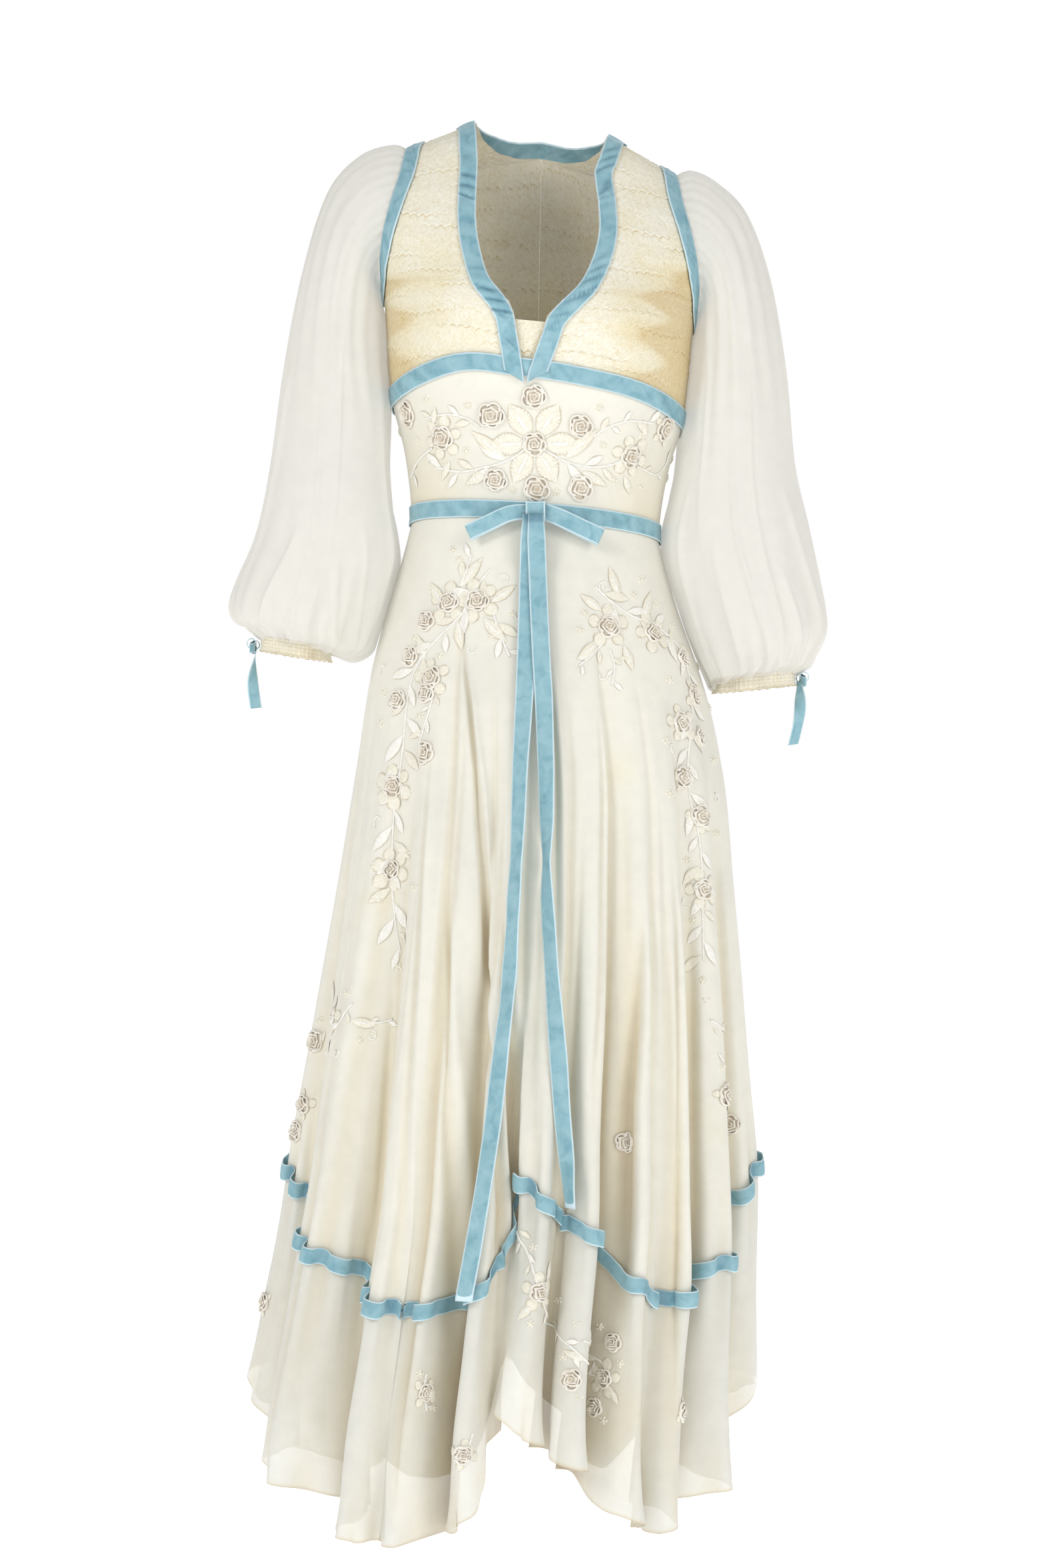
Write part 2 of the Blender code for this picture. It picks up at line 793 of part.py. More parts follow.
def cuff(name, side, rows):
    rings = cuff_rings(side, rows, SLEEVE_COLUMNS + 1)
    return sheet(name, rings, SHEER, loop=True, middle=rings.mean(axis=1, keepdims=True))


def ribbon(name, points, wall=RIBBON_WALL):
    return sheet(name, points, BLUE_VELVET, wall=wall, outward=True)


def neck_ribbon_front(name, side):
    """Ribbon along one half of the front neck, down to its mitred point over the underbust seam."""
    z = np.array(POINT_HEIGHTS + FRONT_HEIGHTS)
    phi = angle_at(column(NECK_FRONT, 0, 1 if side < 0 else 2, z), z)
    lift = LIFT + POINT_LIFT * (1 - smoothstep(-231, -218, z))
    near, far = (SEAM, RIBBON_WIDTH) if side < 0 else (-RIBBON_WIDTH, -SEAM)
    return ribbon(name, strip_points(torso, phi, z, near, far, lift))


def neck_ribbon_back(name):
    """Ribbon along the back neck, from shoulder to shoulder."""
    side_z = np.array([height for height in BACK_HEIGHTS if height > NECK_BACK_LOW])
    side_x = column(NECK_BACK, 0, 1, side_z)
    z = np.concatenate((side_z[::-1], (NECK_BACK_LOW,), side_z))
    x = np.concatenate((-side_x[::-1], (0,), side_x))
    phi = math.pi - angle_at(x, z)
    phi = np.where(x < 0, phi - 2 * math.pi, phi) % (2 * math.pi)
    return ribbon(name, strip_points(torso, phi, z - SEAM, -RIBBON_WIDTH, -SEAM, LIFT - SEAM))


def armhole_ribbon(name, side):
    """Ribbon round an armhole on the bodice side of the seam."""
    _, phi, z = armhole_loop(side, ARMHOLE_COLUMNS)
    near, far = (-RIBBON_WIDTH, -SEAM) if side < 0 else (SEAM, RIBBON_WIDTH)
    points = strip_points(torso, phi[::-1], z[::-1], near, far, LIFT)
    return ribbon(name, points)


def round_ribbon(name, surface, height, lift, columns):
    """Ribbon all round the body, centred on a seam, closed behind."""
    phi = between(-math.pi + BACK_GAP * 2, math.pi - BACK_GAP * 2, columns)
    points = strip_points(surface, phi, height(phi), -RIBBON_WIDTH / 2, RIBBON_WIDTH / 2, lift)
    return ribbon(name, points)


def hem_ribbon(name, first, last):
    """Ribbon that covers the seam between the skirt and the tier."""
    angle = fold_angles(first + RIBBON_END, last - RIBBON_END)
    middle = ribbon_height(angle)
    rows = []
    for share in (-0.5, 0.5):
        height = middle + share * HEM_RIBBON_WIDTH
        rows.append(skirt(angle, height) + HEM_LIFT * normal_of(skirt, angle, height))
    return ribbon(name, np.stack(rows), wall=RIBBON_WALL)


def front_of_skirt(x, z):
    """The foremost reach of the folds near x, on which a hanging ribbon lies."""
    angle = np.radians(between(-60, 60, 241))
    points = skirt(angle, np.full_like(angle, z))
    near = np.abs(points[:, 0] - x) < TAIL_WIDTH / 2 + 3
    return points[near, 1].min()


def tail(name, which, end):
    """A ribbon end that hangs from the knot and rests on the folds of the skirt."""
    heights = np.insert(between(TAILS[1, 2], -end, TAIL_ROWS), 0, TAILS[0, 2])
    rows = []
    for z in heights[::-1]:
        x = column(TAILS, 2, which, z)
        y = min(front_of_skirt(x, z + step) for step in (-12, 0, 12)) - TAIL_CLEAR
        y -= TAIL_START * smoothstep(-440, -388, z)
        y -= TAIL_OVER_HEM * smoothstep(-950, -1000, z)
        half = blend(TAIL_ROOT, TAIL_WIDTH, min(1, (TAILS[0, 2] - z) / (TAILS[0, 2] - TAILS[1, 2]))) / 2
        rows.append([(x - half, y, z), (x, y - TAIL_CROWN, z), (x + half, y, z)])
    points = np.array(rows)
    return ribbon(name, points)


def bow_loop(name, side, tip_x, tip_z):
    """A flat folded loop of the waist bow: two layers of ribbon joined at the tip."""
    base_x = side * (KNOT_SIZE[0] / 2 + LOOP_GAP)
    root = np.array((base_x, BOW_Y, BOW_Z))
    tip = np.array((tip_x, BOW_Y + LOOP_BACK, tip_z))
    axis = (tip - root) / np.linalg.norm(tip - root)
    up = np.cross(axis, (0, -1, 0))
    up /= np.linalg.norm(up)
    up *= np.sign(up[2])
    length = np.linalg.norm(tip - root)
    rings = []
    for share, width, thick in LOOP_RINGS:
        centre = root + axis * length * share
        ring = []
        for turn in between(0, 2 * math.pi, LOOP_SIDES + 1):
            ring.append(centre + up * width * LOOP_WIDTH / 2 * math.sin(turn)
                        + np.array((0, -1, 0)) * thick * LOOP_THICK / 2 * math.cos(turn))
        rings.append(ring)
    return lofted(name, np.array(rings), BLUE_VELVET)


def lofted(name, rings, colour):
    """A closed solid through rings, capped at both ends; a loft between unlike sections."""
    mesh = bpy.data.meshes.new(name)
    shape = bmesh.new()
    loops = [[shape.verts.new(point * MM) for point in ring[:-1]] for ring in rings]
    for low, high in zip(loops, loops[1:]):
        count = len(low)
        for index in range(count):
            after = (index + 1) % count
            shape.faces.new((low[index], low[after], high[after], high[index]))
    shape.faces.new(loops[0][::-1])
    shape.faces.new(loops[-1])
    bmesh.ops.recalc_face_normals(shape, faces=shape.faces)
    shape.to_mesh(mesh)
    shape.free()
    return link(bpy.data.objects.new(name, mesh), name, colour)


def knot(name, centre, size, colour=BLUE_VELVET):
    """A rounded block for the knot that binds a bow."""
    mesh = bpy.data.meshes.new(name)
    shape = bmesh.new()
    bmesh.ops.create_cube(shape, size=1)
    for vert in shape.verts:
        vert.co = tuple((centre[i] + vert.co[i] * size[i]) * MM for i in range(3))
    shape.to_mesh(mesh)
    shape.free()
    made = link(bpy.data.objects.new(name, mesh), name, colour)
    round_off = made.modifiers.new("Rounding", "BEVEL")
    round_off.width = min(size) * KNOT_ROUND * MM
    round_off.segments = 2
    return made


def raise_roses(made, points, surface, places):
    """Raises a low round knob on the outer face of a wall for each folded-ribbon rose."""
    bpy.context.view_layer.update()
    depsgraph = bpy.context.evaluated_depsgraph_get()
    mesh = bpy.data.meshes.new_from_object(made.evaluated_get(depsgraph))
    made.modifiers.clear()
    shape = bmesh.new()
    shape.from_mesh(mesh)
    shape.faces.ensure_lookup_table()
    rows, columns = points.shape[:2]
    outer = [face for face in shape.faces[:(rows - 1) * (columns - 1)]]
    for u, v in places:
        centre = Point(surface(np.array(u), np.array(v)) * MM)
        normal = Point(normal_of(surface, np.array(u), np.array(v)))
        outer = [face for face in outer if face.is_valid]
        patch = [face for face in outer if touches(face, centre, ROSE_CLEAR * MM)]
        if not patch:
            continue
        if len(patch) > 1:
            patch = bmesh.ops.dissolve_faces(shape, faces=patch)["region"]
        face = patch[0]
        for scale, rise in ((1.0, 0.0), (ROSE_TOP, ROSE_RISE)):
            bmesh.ops.inset_individual(shape, faces=[face], thickness=0.0)
            for vert in face.verts:
                ray = vert.co - centre
                ray -= normal * ray.dot(normal)
                vert.co = centre + ray.normalized() * ROSE_RADIUS * scale * MM + normal * rise * MM
        outer = [other for other in outer if other.is_valid and other is not face]
    shape.to_mesh(made.data)
    shape.free()
    bpy.data.meshes.remove(mesh)
    made.data.shade_smooth()


def touches(face, centre, reach):
    """Whether a face has a corner, an edge or its inside within reach of a point."""
    away = (centre - face.verts[0].co).dot(face.normal)
    inside = bmesh.geometry.intersect_face_point(face, centre - face.normal * away)
    closest = min(edge_distance(edge, centre) for edge in face.edges)
    return abs(away) < reach and (closest < reach or inside)


def edge_distance(edge, centre):
    start = edge.verts[0].co
    along = edge.verts[1].co - start
    share = min(1.0, max(0.0, (centre - start).dot(along) / along.length_squared))
    return (start + along * share - centre).length


def flat_box(points):
    """A small closed ribbon piece from four corner columns of near and far points."""
    return lofted("piece", np.array([ring + ring[:1] for ring in points]), BLUE_VELVET)


def cuff_tail(centre, side, end_x, end_z):
    """The one long ribbon end of a cuff bow, which sways a little as it hangs."""
    rings = []
    for share in between(0, 1, CUFF_TAIL_ROWS):
        x = blend(centre[0] + side * CUFF_TAIL_SWAY / 2, end_x + side * CUFF_TAIL_OUT, share)
        z = blend(centre[2] - CUFF_TAIL_SWAY, end_z, share)
        sway = math.sin(share * math.pi * 1.5) * CUFF_TAIL_SWAY
        wide = CUFF_TAIL_WIDTH / 4 * (1 + min(1.0, share * 4))
        near, far = x - CUFF_TAIL_WALL, x + CUFF_TAIL_WALL
        rings.append([(near, sway - wide, z), (far, sway - wide, z),
                      (far, sway + wide, z), (near, sway + wide, z)])
    return flat_box(rings)


def cuff_loop(centre, way):
    """One flat folded loop of a cuff bow, towards the front or the back."""
    rings = []
    for share, width in CUFF_LOOP_RINGS:
        y = way * (1 + share * CUFF_LOOP)
        z = centre[2] - 1 - share * CUFF_LOOP_DROOP
        wide = CUFF_LOOP_WIDTH * width
        puff = 1 + CUFF_LOOP_PUFF * math.sin(share * math.pi)
        near, far = centre[0] - puff, centre[0] + puff
        rings.append([(near, y, z - wide), (far, y, z - wide), (far, y, z + wide), (near, y, z + wide)])
    return flat_box(rings)


def cuff_bow(name, side, knot_x, knot_z, end_x, end_z):
    """A small velvet bow on the outer side of a cuff, with one long tail, joined at its knot."""
    centre = np.array((knot_x + side * CUFF_KNOT_OUT, 0, knot_z))
    made = knot(name, centre, CUFF_KNOT)
    for piece in (cuff_tail(centre, side, end_x, end_z), cuff_loop(centre, -1), cuff_loop(centre, 1)):
        collection.objects.unlink(piece)
        cutters.objects.link(piece)
        piece.hide_render = True
        piece.display_type = "WIRE"
        joined = made.modifiers.new("Join", "BOOLEAN")
        joined.operation = "UNION"
        joined.object = piece
    return made


def new_collection(name):
    made = bpy.data.collections.new(name)
    bpy.context.scene.collection.children.link(made)
    return made


for old in list(bpy.data.objects):
    bpy.data.objects.remove(old)

collection = new_collection("maxi_dress")
cutters = new_collection("cutters")

for label, side in (("left", -1), ("right", 1)):
    rows = SLEEVE_LEFT if side < 0 else SLEEVE_RIGHT
    bodice_front(f"bodice_front_{label}", side)
    bodice_back(f"bodice_back_{label}", side)
    neck_ribbon_front(f"neck_ribbon_{label}", side)
    armhole_ribbon(f"armhole_ribbon_{label}", side)
    sleeve(f"sleeve_{label}", side, rows)
    cuff(f"cuff_{label}", side, rows)
    cuff_bow(f"cuff_bow_{label}", side, *CUFF_BOWS[0 if side < 0 else 1])
    back_low = side * (math.pi - BACK_GAP)
    back = band(side * (math.pi - SIDE_FRONT), back_low, MIDRIFF_BACK_COLUMNS,
                above_waist, below_underbust, MIDRIFF_ROWS)
    sheet(f"midriff_back_{label}", back, CREAM_SILK)

notch_inset()
neck_ribbon_back("neck_ribbon_back")

midriff = band(-SIDE_FRONT, SIDE_FRONT, MIDRIFF_COLUMNS, above_waist, below_underbust, MIDRIFF_ROWS)
midriff_front = sheet("midriff_front", midriff, CREAM_SILK)
rose_angles = [(angle_at(x, z), z) for x, z in MIDRIFF_ROSES]
raise_roses(midriff_front, midriff, torso, rose_angles)

round_ribbon("underbust_ribbon", torso, underbust_height, LIFT, ROUND_COLUMNS)
round_ribbon("waist_ribbon", body, waist_height, LIFT, ROUND_COLUMNS)

front = (-SKIRT_SIDE, SKIRT_SIDE)
behind = (math.pi - SKIRT_SIDE, math.pi + SKIRT_SIDE)

points = skirt_points(*front, SKIRT_ROWS)
skirt_front = sheet("skirt_front", points, CREAM_SILK)
roses = [(math.radians(angle), -drop) for angle, drop in SKIRT_ROSES]
raise_roses(skirt_front, points, skirt, roses)
sheet("skirt_back", skirt_points(*behind, SKIRT_ROWS), CREAM_SILK)

points = tier_points(*front, TIER_ROWS)
tier_front = sheet("tier_front", points, CREAM_SILK)
roses = [(math.radians(angle), -drop) for angle, drop in TIER_ROSES]
raise_roses(tier_front, points, skirt, roses)
sheet("tier_back", tier_points(*behind, TIER_ROWS), CREAM_SILK)

sheet("lining_front", lining_points(*front, LINING_COLUMNS, LINING_ROWS), CREAM_SILK)
sheet("lining_back", lining_points(*behind, LINING_COLUMNS, LINING_ROWS), CREAM_SILK)

hem_ribbon("hem_ribbon_front", *front)
hem_ribbon("hem_ribbon_back", *behind)

tail("tail_left", 0, TAIL_LEFT_END)
tail("tail_right", 1, TAIL_RIGHT_END)
knot("bow_knot", (KNOT_X, BOW_Y, BOW_Z), KNOT_SIZE)
for label, side, tip in (("left", -1, LOOP_TIPS[0]), ("right", 1, LOOP_TIPS[1])):
    bow_loop(f"bow_loop_{label}", side, *tip)
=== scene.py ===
"""Looks of the silk maxi dress: lace bodice, rose-trimmed midriff, fluted skirt with a
handkerchief tier, sheer bishop sleeves and puckered velvet ribbons, all round the fixed frame.

Lengths are millimetres until a mesh is made, in the frame's own axes: the front faces -Y and
the origin is where the shoulders hold the dress.
"""

import math

import bpy
import numpy as np
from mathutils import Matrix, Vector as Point


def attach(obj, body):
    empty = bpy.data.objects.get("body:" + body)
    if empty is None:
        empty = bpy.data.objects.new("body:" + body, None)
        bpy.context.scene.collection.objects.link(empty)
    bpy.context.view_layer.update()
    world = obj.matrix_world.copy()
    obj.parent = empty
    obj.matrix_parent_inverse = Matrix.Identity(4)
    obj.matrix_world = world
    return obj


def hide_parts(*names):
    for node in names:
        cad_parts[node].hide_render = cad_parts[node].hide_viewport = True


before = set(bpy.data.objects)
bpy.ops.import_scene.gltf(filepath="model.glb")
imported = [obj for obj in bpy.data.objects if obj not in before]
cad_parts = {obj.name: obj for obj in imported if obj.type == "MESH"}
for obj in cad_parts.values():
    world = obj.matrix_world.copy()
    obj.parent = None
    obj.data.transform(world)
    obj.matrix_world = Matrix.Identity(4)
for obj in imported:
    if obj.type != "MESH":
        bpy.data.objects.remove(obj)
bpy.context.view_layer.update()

# Driving sizes
MM = 0.001
WALL = 1.2
SEAM = 0.3
LIFT = 1.2
SEAM_TUCK = 0.9
WAIST_DROP = 376.0
WAIST_RISE = 9.0
SHOULDER_X = 99.0
SHOULDER_SLOPE = 0.49
SLOPE_REACH = 110.0
TILT_WAIST = 0.076
TILT_SHOULDER = 0.100
LEAN_SHOULDER = 6.5
UNDERARM_DROP = 155.0
UNDERBUST_RAISE = 9.0
SIDE_FRONT = math.pi / 2 - 0.0015
SKIRT_SIDE = math.pi / 2 - 0.0012
BACK_GAP = 0.0015
INSET_TUCK = 7.0
INSET_BEHIND = 1.0
TIER_DEPTH = 216.0
TIER_SEAM_DROP = 2.2
TIER_EDGE = 0.8
LINING_SHORT = 48.0
LINING_INSET = 3.0
LINING_SHRINK = 0.37
LINING_FULL_DROP = 1250.0
LINING_SEAM = 0.003
LINING_START = 14.0

# Velvet: widths, thicknesses, and how far each ribbon stands off the cloth
RIBBON_WIDTH = 18.0
RIBBON_CROWN = 0.5
RIBBON_STEP = 2.2
RIBBON_ACROSS = 9
RIBBON_END = 0.006
VELVET_THICK = 1.0
HEM_THICK = 0.9
BOW_THICK = 0.8
CUFF_BOW_THICK = 0.7
POINT_LIFT = 2.3
MITRE = 12.6
MITRE_REACH = 45.0
HEM_RIBBON_WIDTH = 15.0
HEM_LIFT = 2.0
HEM_PUCKER = 2.4
HEM_DROP = -3.0

# Steps in u and v by which a surface's slopes are read, and the longest step over it
STEP_U = 0.002
STEP_V = 0.5
PLACE_U = 0.01
PLACE_V = 1.5
MARCH_STEP = 0.5

# Torso sections: height, half width, front depth, back depth, squareness
TORSO = np.array((
    (-380, 121.5, 88, 82, 2.20), (-345, 125, 91, 81, 2.20), (-310, 131, 96, 82, 2.20),
    (-264, 143.5, 107, 86, 2.30), (-225, 148, 118, 90, 2.35), (-185, 151, 125, 95, 2.40),
    (-150, 155, 119, 99, 2.50), (-135, 159, 113, 101, 2.50), (-113, 163, 104, 102, 2.60),
    (-80, 161, 87, 96, 2.80), (-42, 153, 60, 74, 3.00), (-20, 145, 42, 50, 3.00),
    (-8, 139, 27, 31, 3.00), (0, 133.2, 0.5, 0.5, 3.00),
))

# Bust cups set by the darts
CUP_HEIGHT = -182.0
CUP_ACROSS = 72.0
CUP_RADIUS = 46.0
CUP_FULLNESS = 9.0

# Front neck edge: height, left x, right x
NECK_FRONT = np.array((
    (-380, -12.3, -11.8), (-256, -12.6, -11.2), (-238, -13.6, -10.0), (-205, -20, 1.5),
    (-180, -25.5, 10.5), (-173, -29, 17), (-166, -38, 25), (-150, -49, 38), (-124, -58, 51),
    (-90, -62, 56), (-60, -62, 54), (-42, -61.5, 51), (-20, -63, 58), (0, -65, 65),
))

# Back neck edge: height, x on either side
NECK_BACK = np.array(((-60, 0.05), (-28, 0.05), (-26, 24), (-20, 44), (-10, 58), (0, 65)))

# Lower edge of the back neck ribbon, which turns onto the lace to meet the front ones: x, height
NECK_BACK_LINE = (
    (0, -28.6), (24, -26.4), (38, -23.6), (50, -19.8), (60, -15.4), (69, -10.4), (76, -6.0),
    (80, -3.2), (82.4, -0.8),
)

# Armhole edge: height, x on either side
ARMHOLE = np.array((
    (-155, 154.2), (-150, 154.0), (-135, 155.0), (-113, 153.0), (-80, 146.5), (-42, 138.0),
    (-20, 135.2), (-8, 133.8), (0, 132.9),
))

# Underbust seam: x, height
UNDERBUST = np.array((
    (-150, -276), (-107, -254), (-67, -239), (-13, -243), (11, -243), (79, -250), (108, -257),
    (150, -274),
))

# Heights at which the lace panels, the inset and the neck ribbons are worked out
FRONT_LEVELS = (
    -218, -200, -184, -173, -166, -158, -150, -135, -113, -90, -66, -42, -28, -16, -8, -3, -0.8,
    0.0,
)
BACK_LEVELS = (
    -240, -205, -175, -150, -135, -113, -90, -66, -46, -28.5, -26, -20, -10, -4, -0.8, 0.0,
)
INSET_HEIGHTS = (-236, -218, -203, -190)
POINT_HEIGHTS = (-247, -243, -239, -235, -230, -225)
RIBBON_LEVELS = (
    -218, -200, -184, -170, -158, -150, -135, -113, -90, -66, -42, -28, -16, -8, -3, -0.8,
)

# Creases across the neck ribbons: distance along, skew, height
NECK_CREASES = {
    "left": (
        (52, 0.5, 1.0), (60, -0.6, 0.9), (84, 0.8, 0.7), (196, -0.2, 1.1), (203, 0.4, 0.7),
        (30, 0.9, 0.5),
    ),
    "right": (
        (50, -0.5, 1.0), (60, 0.5, 0.8), (92, -0.7, 0.8), (208, 0.2, 1.1), (216, -0.4, 0.7),
        (34, 0.9, 0.5),
    ),
}

# Skirt outline: height, left reach, right reach, depth in front, depth behind
SKIRT = np.array((
    (-1345, 300, 221, 232, 240), (-1254, 293, 219, 226, 232), (-1148, 271, 218, 215, 220),
    (-1043, 249, 218, 202, 206), (-937, 233, 213, 190, 194), (-832, 214, 206, 176, 180),
    (-726, 195, 197, 160, 164), (-620, 177, 187, 142, 150), (-515, 159, 163, 121, 134),
    (-450, 141, 141, 106, 112), (-410, 129, 129, 96, 95), (-380, 121.5, 121.5, 88, 82),
))

# Flutes: ridge angle, depth of the valley after it, drop at which that valley starts, lean
FLUTES = np.array((
    (-172, 0.26, 520, 0.10), (-150, 0.24, 600, -0.10), (-128, 0.25, 480, 0.10),
    (-106, 0.20, 640, 0.00), (-84, 0.17, 560, 0.10), (-59, 0.28, 470, 0.14),
    (-31.5, 0.10, 760, 0.00), (-21, 0.32, 520, 0.16), (-8, 0.15, 640, 0.00), (5, 0.16, 560, 0.00),
    (17, 0.31, 430, -0.16), (31.5, 0.12, 700, 0.00), (42, 0.26, 500, -0.10), (59, 0.26, 470, -0.16),
    (80, 0.18, 560, 0.00), (102, 0.24, 520, 0.10), (124, 0.22, 620, -0.10), (146, 0.26, 500, 0.00),
    (167, 0.24, 560, 0.10),
))
FLUTE_END = 1250

# Hem ribbon: angle round the skirt, drop below the shoulders
ZIGZAG = np.array((
    (-180, 1000), (-135, 1122), (-90, 985), (-80, 1022), (-70, 1054), (-58, 1080), (-50, 1094),
    (-42, 1108), (-31, 1123), (-21, 1123), (-14, 1117), (-9.5, 1110), (-6, 1092), (-3.4, 1068),
    (-1.2, 1022), (0.6, 999), (4, 1016), (8, 1031), (13.6, 1044), (20, 1057), (25.5, 1068),
    (28.9, 1096), (34, 1113), (40, 1119), (46, 1109), (55, 1095), (62, 1086), (70, 1064),
    (76, 1034), (82, 1000), (90, 982), (135, 1122), (180, 1000),
))

# Lesser folds of the skirt: waves round the whole, height in mm at the hem, turn down the skirt
RIPPLES = np.array(((29, 1.9, 2.1), (43, 1.5, -3.0), (67, 0.9, 4.2), (101, 0.4, -6.0)))

# Long soft creases in the skirt: angle, first drop, last drop, width in degrees, depth, drift
CREASES = np.array((
    (-79, 520, 1290, 2.6, 4.0, 2), (-70, 640, 1330, 2.0, 3.5, -3), (-62, 700, 1330, 1.6, 3.0, 2),
    (-50, 560, 1200, 1.9, 5.0, -6), (-44, 640, 1320, 1.5, 4.5, -3), (-37, 700, 1330, 1.4, 4.0, 2),
    (-29, 410, 1180, 1.3, 6.0, 6), (-25, 560, 1320, 1.6, 6.5, 3), (-15, 480, 1300, 1.2, 4.0, 2),
    (-11, 620, 1330, 1.2, 4.5, -2), (-4, 560, 1330, 1.3, 4.0, 3), (2, 660, 1300, 1.2, 3.0, -2),
    (9, 520, 1300, 1.2, 4.5, 2), (13, 640, 1330, 1.1, 4.0, -3), (22, 460, 1330, 1.6, 6.0, 2),
    (27, 600, 1330, 1.4, 4.5, 3), (35, 520, 1300, 1.4, 4.0, -2), (38, 640, 1330, 1.5, 5.0, 3),
    (47, 560, 1330, 1.5, 6.5, 2), (53, 640, 1330, 1.6, 4.0, -3), (63, 540, 1330, 1.8, 4.0, 2),
    (70, 640, 1330, 2.0, 4.0, -2), (84, 560, 1330, 2.4, 4.0, 3), (98, 520, 1330, 2.2, 5.0, -4),
    (113, 600, 1330, 2.0, 4.5, 3), (121, 520, 1330, 2.4, 5.0, -3), (135, 620, 1330, 2.0, 4.0, 4),
    (152, 480, 1330, 2.4, 5.5, 2), (163, 640, 1330, 1.9, 4.0, -3), (176, 560, 1330, 2.2, 4.5, 2),
    (-168, 600, 1330, 2.0, 5.0, -2), (-157, 520, 1330, 2.3, 4.0, 3), (-140, 620, 1330, 2.0, 5.0, 2),
    (-131, 480, 1330, 2.2, 4.0, -3), (-117, 560, 1330, 2.4, 5.0, 3), (-99, 620, 1330, 2.0, 4.5, -2),
))

# Sharp folds where the cloth laps over itself: depth, width in degrees, then angle and drop
LAPS = (
    (8.0, 0.95, ((-29.4, 455), (-25.5, 522), (-23.2, 553), (-19.3, 636), (-16.4, 713), (-14.2, 803),
     (-11, 860), (-8.2, 910), (-5.1, 1014), (-3.1, 1080))),
    (6.5, 0.95, ((-27.4, 700), (-25.2, 755), (-23.2, 803), (-19.8, 928), (-18.7, 986),
     (-17.2, 1100))),
    (9.0, 1.5, ((-11.4, 690), (-7.9, 803), (-4.3, 884), (-1.1, 1010))),
    (9.0, 1.1, ((30.9, 720), (29.5, 835), (28.3, 931), (28.3, 998), (28.6, 1090))),
    (6.0, 0.9, ((41.9, 690), (42.5, 761), (42.0, 901), (41.0, 1025), (41.5, 1130))),
    (6.0, 0.9, ((53.1, 740), (53.5, 812), (53.8, 966), (54.6, 1110))),
    (4.5, 1.1, ((3.8, 490), (4.0, 582), (4.8, 678), (6.2, 790))),
    (4.5, 1.0, ((-37.9, 590), (-35.0, 710), (-32.5, 804), (-30.8, 898), (-29.4, 1040))),
    (4.0, 1.0, ((19.5, 540), (18.7, 678), (18.5, 805), (16.9, 910))),
    (5.0, 1.0, ((-47.0, 800), (-47.6, 965), (-48.7, 1080))),
    (5.0, 1.1, ((73.2, 650), (74.1, 842), (74.5, 1060))),
    (6.0, 1.1, ((-68.0, 620), (-70.0, 820), (-71.0, 1080))),
    (7.0, 1.2, ((112.0, 560), (116.0, 800), (118.0, 1180))),
    (6.0, 1.1, ((139.0, 620), (137.0, 850), (138.0, 1200))),
    (7.0, 1.2, ((163.0, 520), (160.0, 800), (161.0, 1190))),
    (6.0, 1.1, ((-171.0, 600), (-174.0, 860), (-173.0, 1200))),
    (7.0, 1.2, ((-146.0, 540), (-142.0, 820), (-143.0, 1190))),
    (6.0, 1.1, ((-120.0, 600), (-124.0, 850), (-125.0, 1200))),
)
HEM_WAVE = 5.6
HEM_WAVE_REACH = 110.0
PIPES = 62
PIPE_DEPTH = 3.6
PIPE_REACH = 70.0

# Sleeve outlines seen from the front: outer x, outer z, inner x, inner z, half depth
SLEEVE_LEFT = np.array((
    (-150, 6, -155, -151, 58), (-196, -14, -157, -175, 66), (-227, -62, -156, -205, 70),
    (-241, -140, -153, -245, 72), (-249, -225, -147, -290, 72), (-262, -315, -142, -345, 74),
    (-276, -383, -140, -400, 78), (-294, -430, -150, -455, 82), (-303, -460, -158, -486, 80),
    (-300, -478, -163, -502, 74), (-288, -486, -180, -509, 60), (-272, -486, -201, -497, 41),
))
SLEEVE_RIGHT = np.array((
    (164, -18, 161, -178, 58), (198, -40, 161, -200, 66), (228, -82, 158, -230, 70),
    (243, -150, 154, -268, 72), (248, -225, 148, -305, 72), (257, -315, 137, -352, 74),
    (270, -375, 134, -408, 78), (281, -430, 150, -465, 82), (289, -472, 164, -505, 80),
    (288, -502, 171, -529, 74), (277, -519, 174, -536, 60), (258, -520, 175, -528, 43),
))
SLEEVE_GAP = 0.6
SLEEVE_INWARD = 9.0
SLEEVE_ROUND = 12.0
UNDERARM_CLEAR = 5.0
HEAD_BLEND = 5
HEAD_STEP = 6.0
HEAD_SHARE = 0.7
CUFF_HEIGHT = 10.0
CUFF_SEAM = 0.6
CUFF_TUCK = 2.0
CUFF_GATHERS = 58
FRILL_HEIGHT = 3.5

# How far each sleeve's inner side reaches towards the body: depth below the shoulder, reach
SLEEVE_BESIDE = {
    "left": (
        (130, 0), (146, 8), (174, 7.5), (212, 4), (240, 2.5), (275, 0.5), (300, 0), (360, 0),
        (388, 4), (410, 7.5), (432, 6), (465, 4), (510, 2), (540, 0),
    ),
    "right": (
        (145, 0), (160, 6), (174, 9), (212, 5.6), (261, 3), (304, 1.5), (330, 2.5), (354, 5),
        (388, 9.5), (416, 8.0), (441, 6.0), (490, 5.5), (540, 2.5), (575, 0),
    ),
}

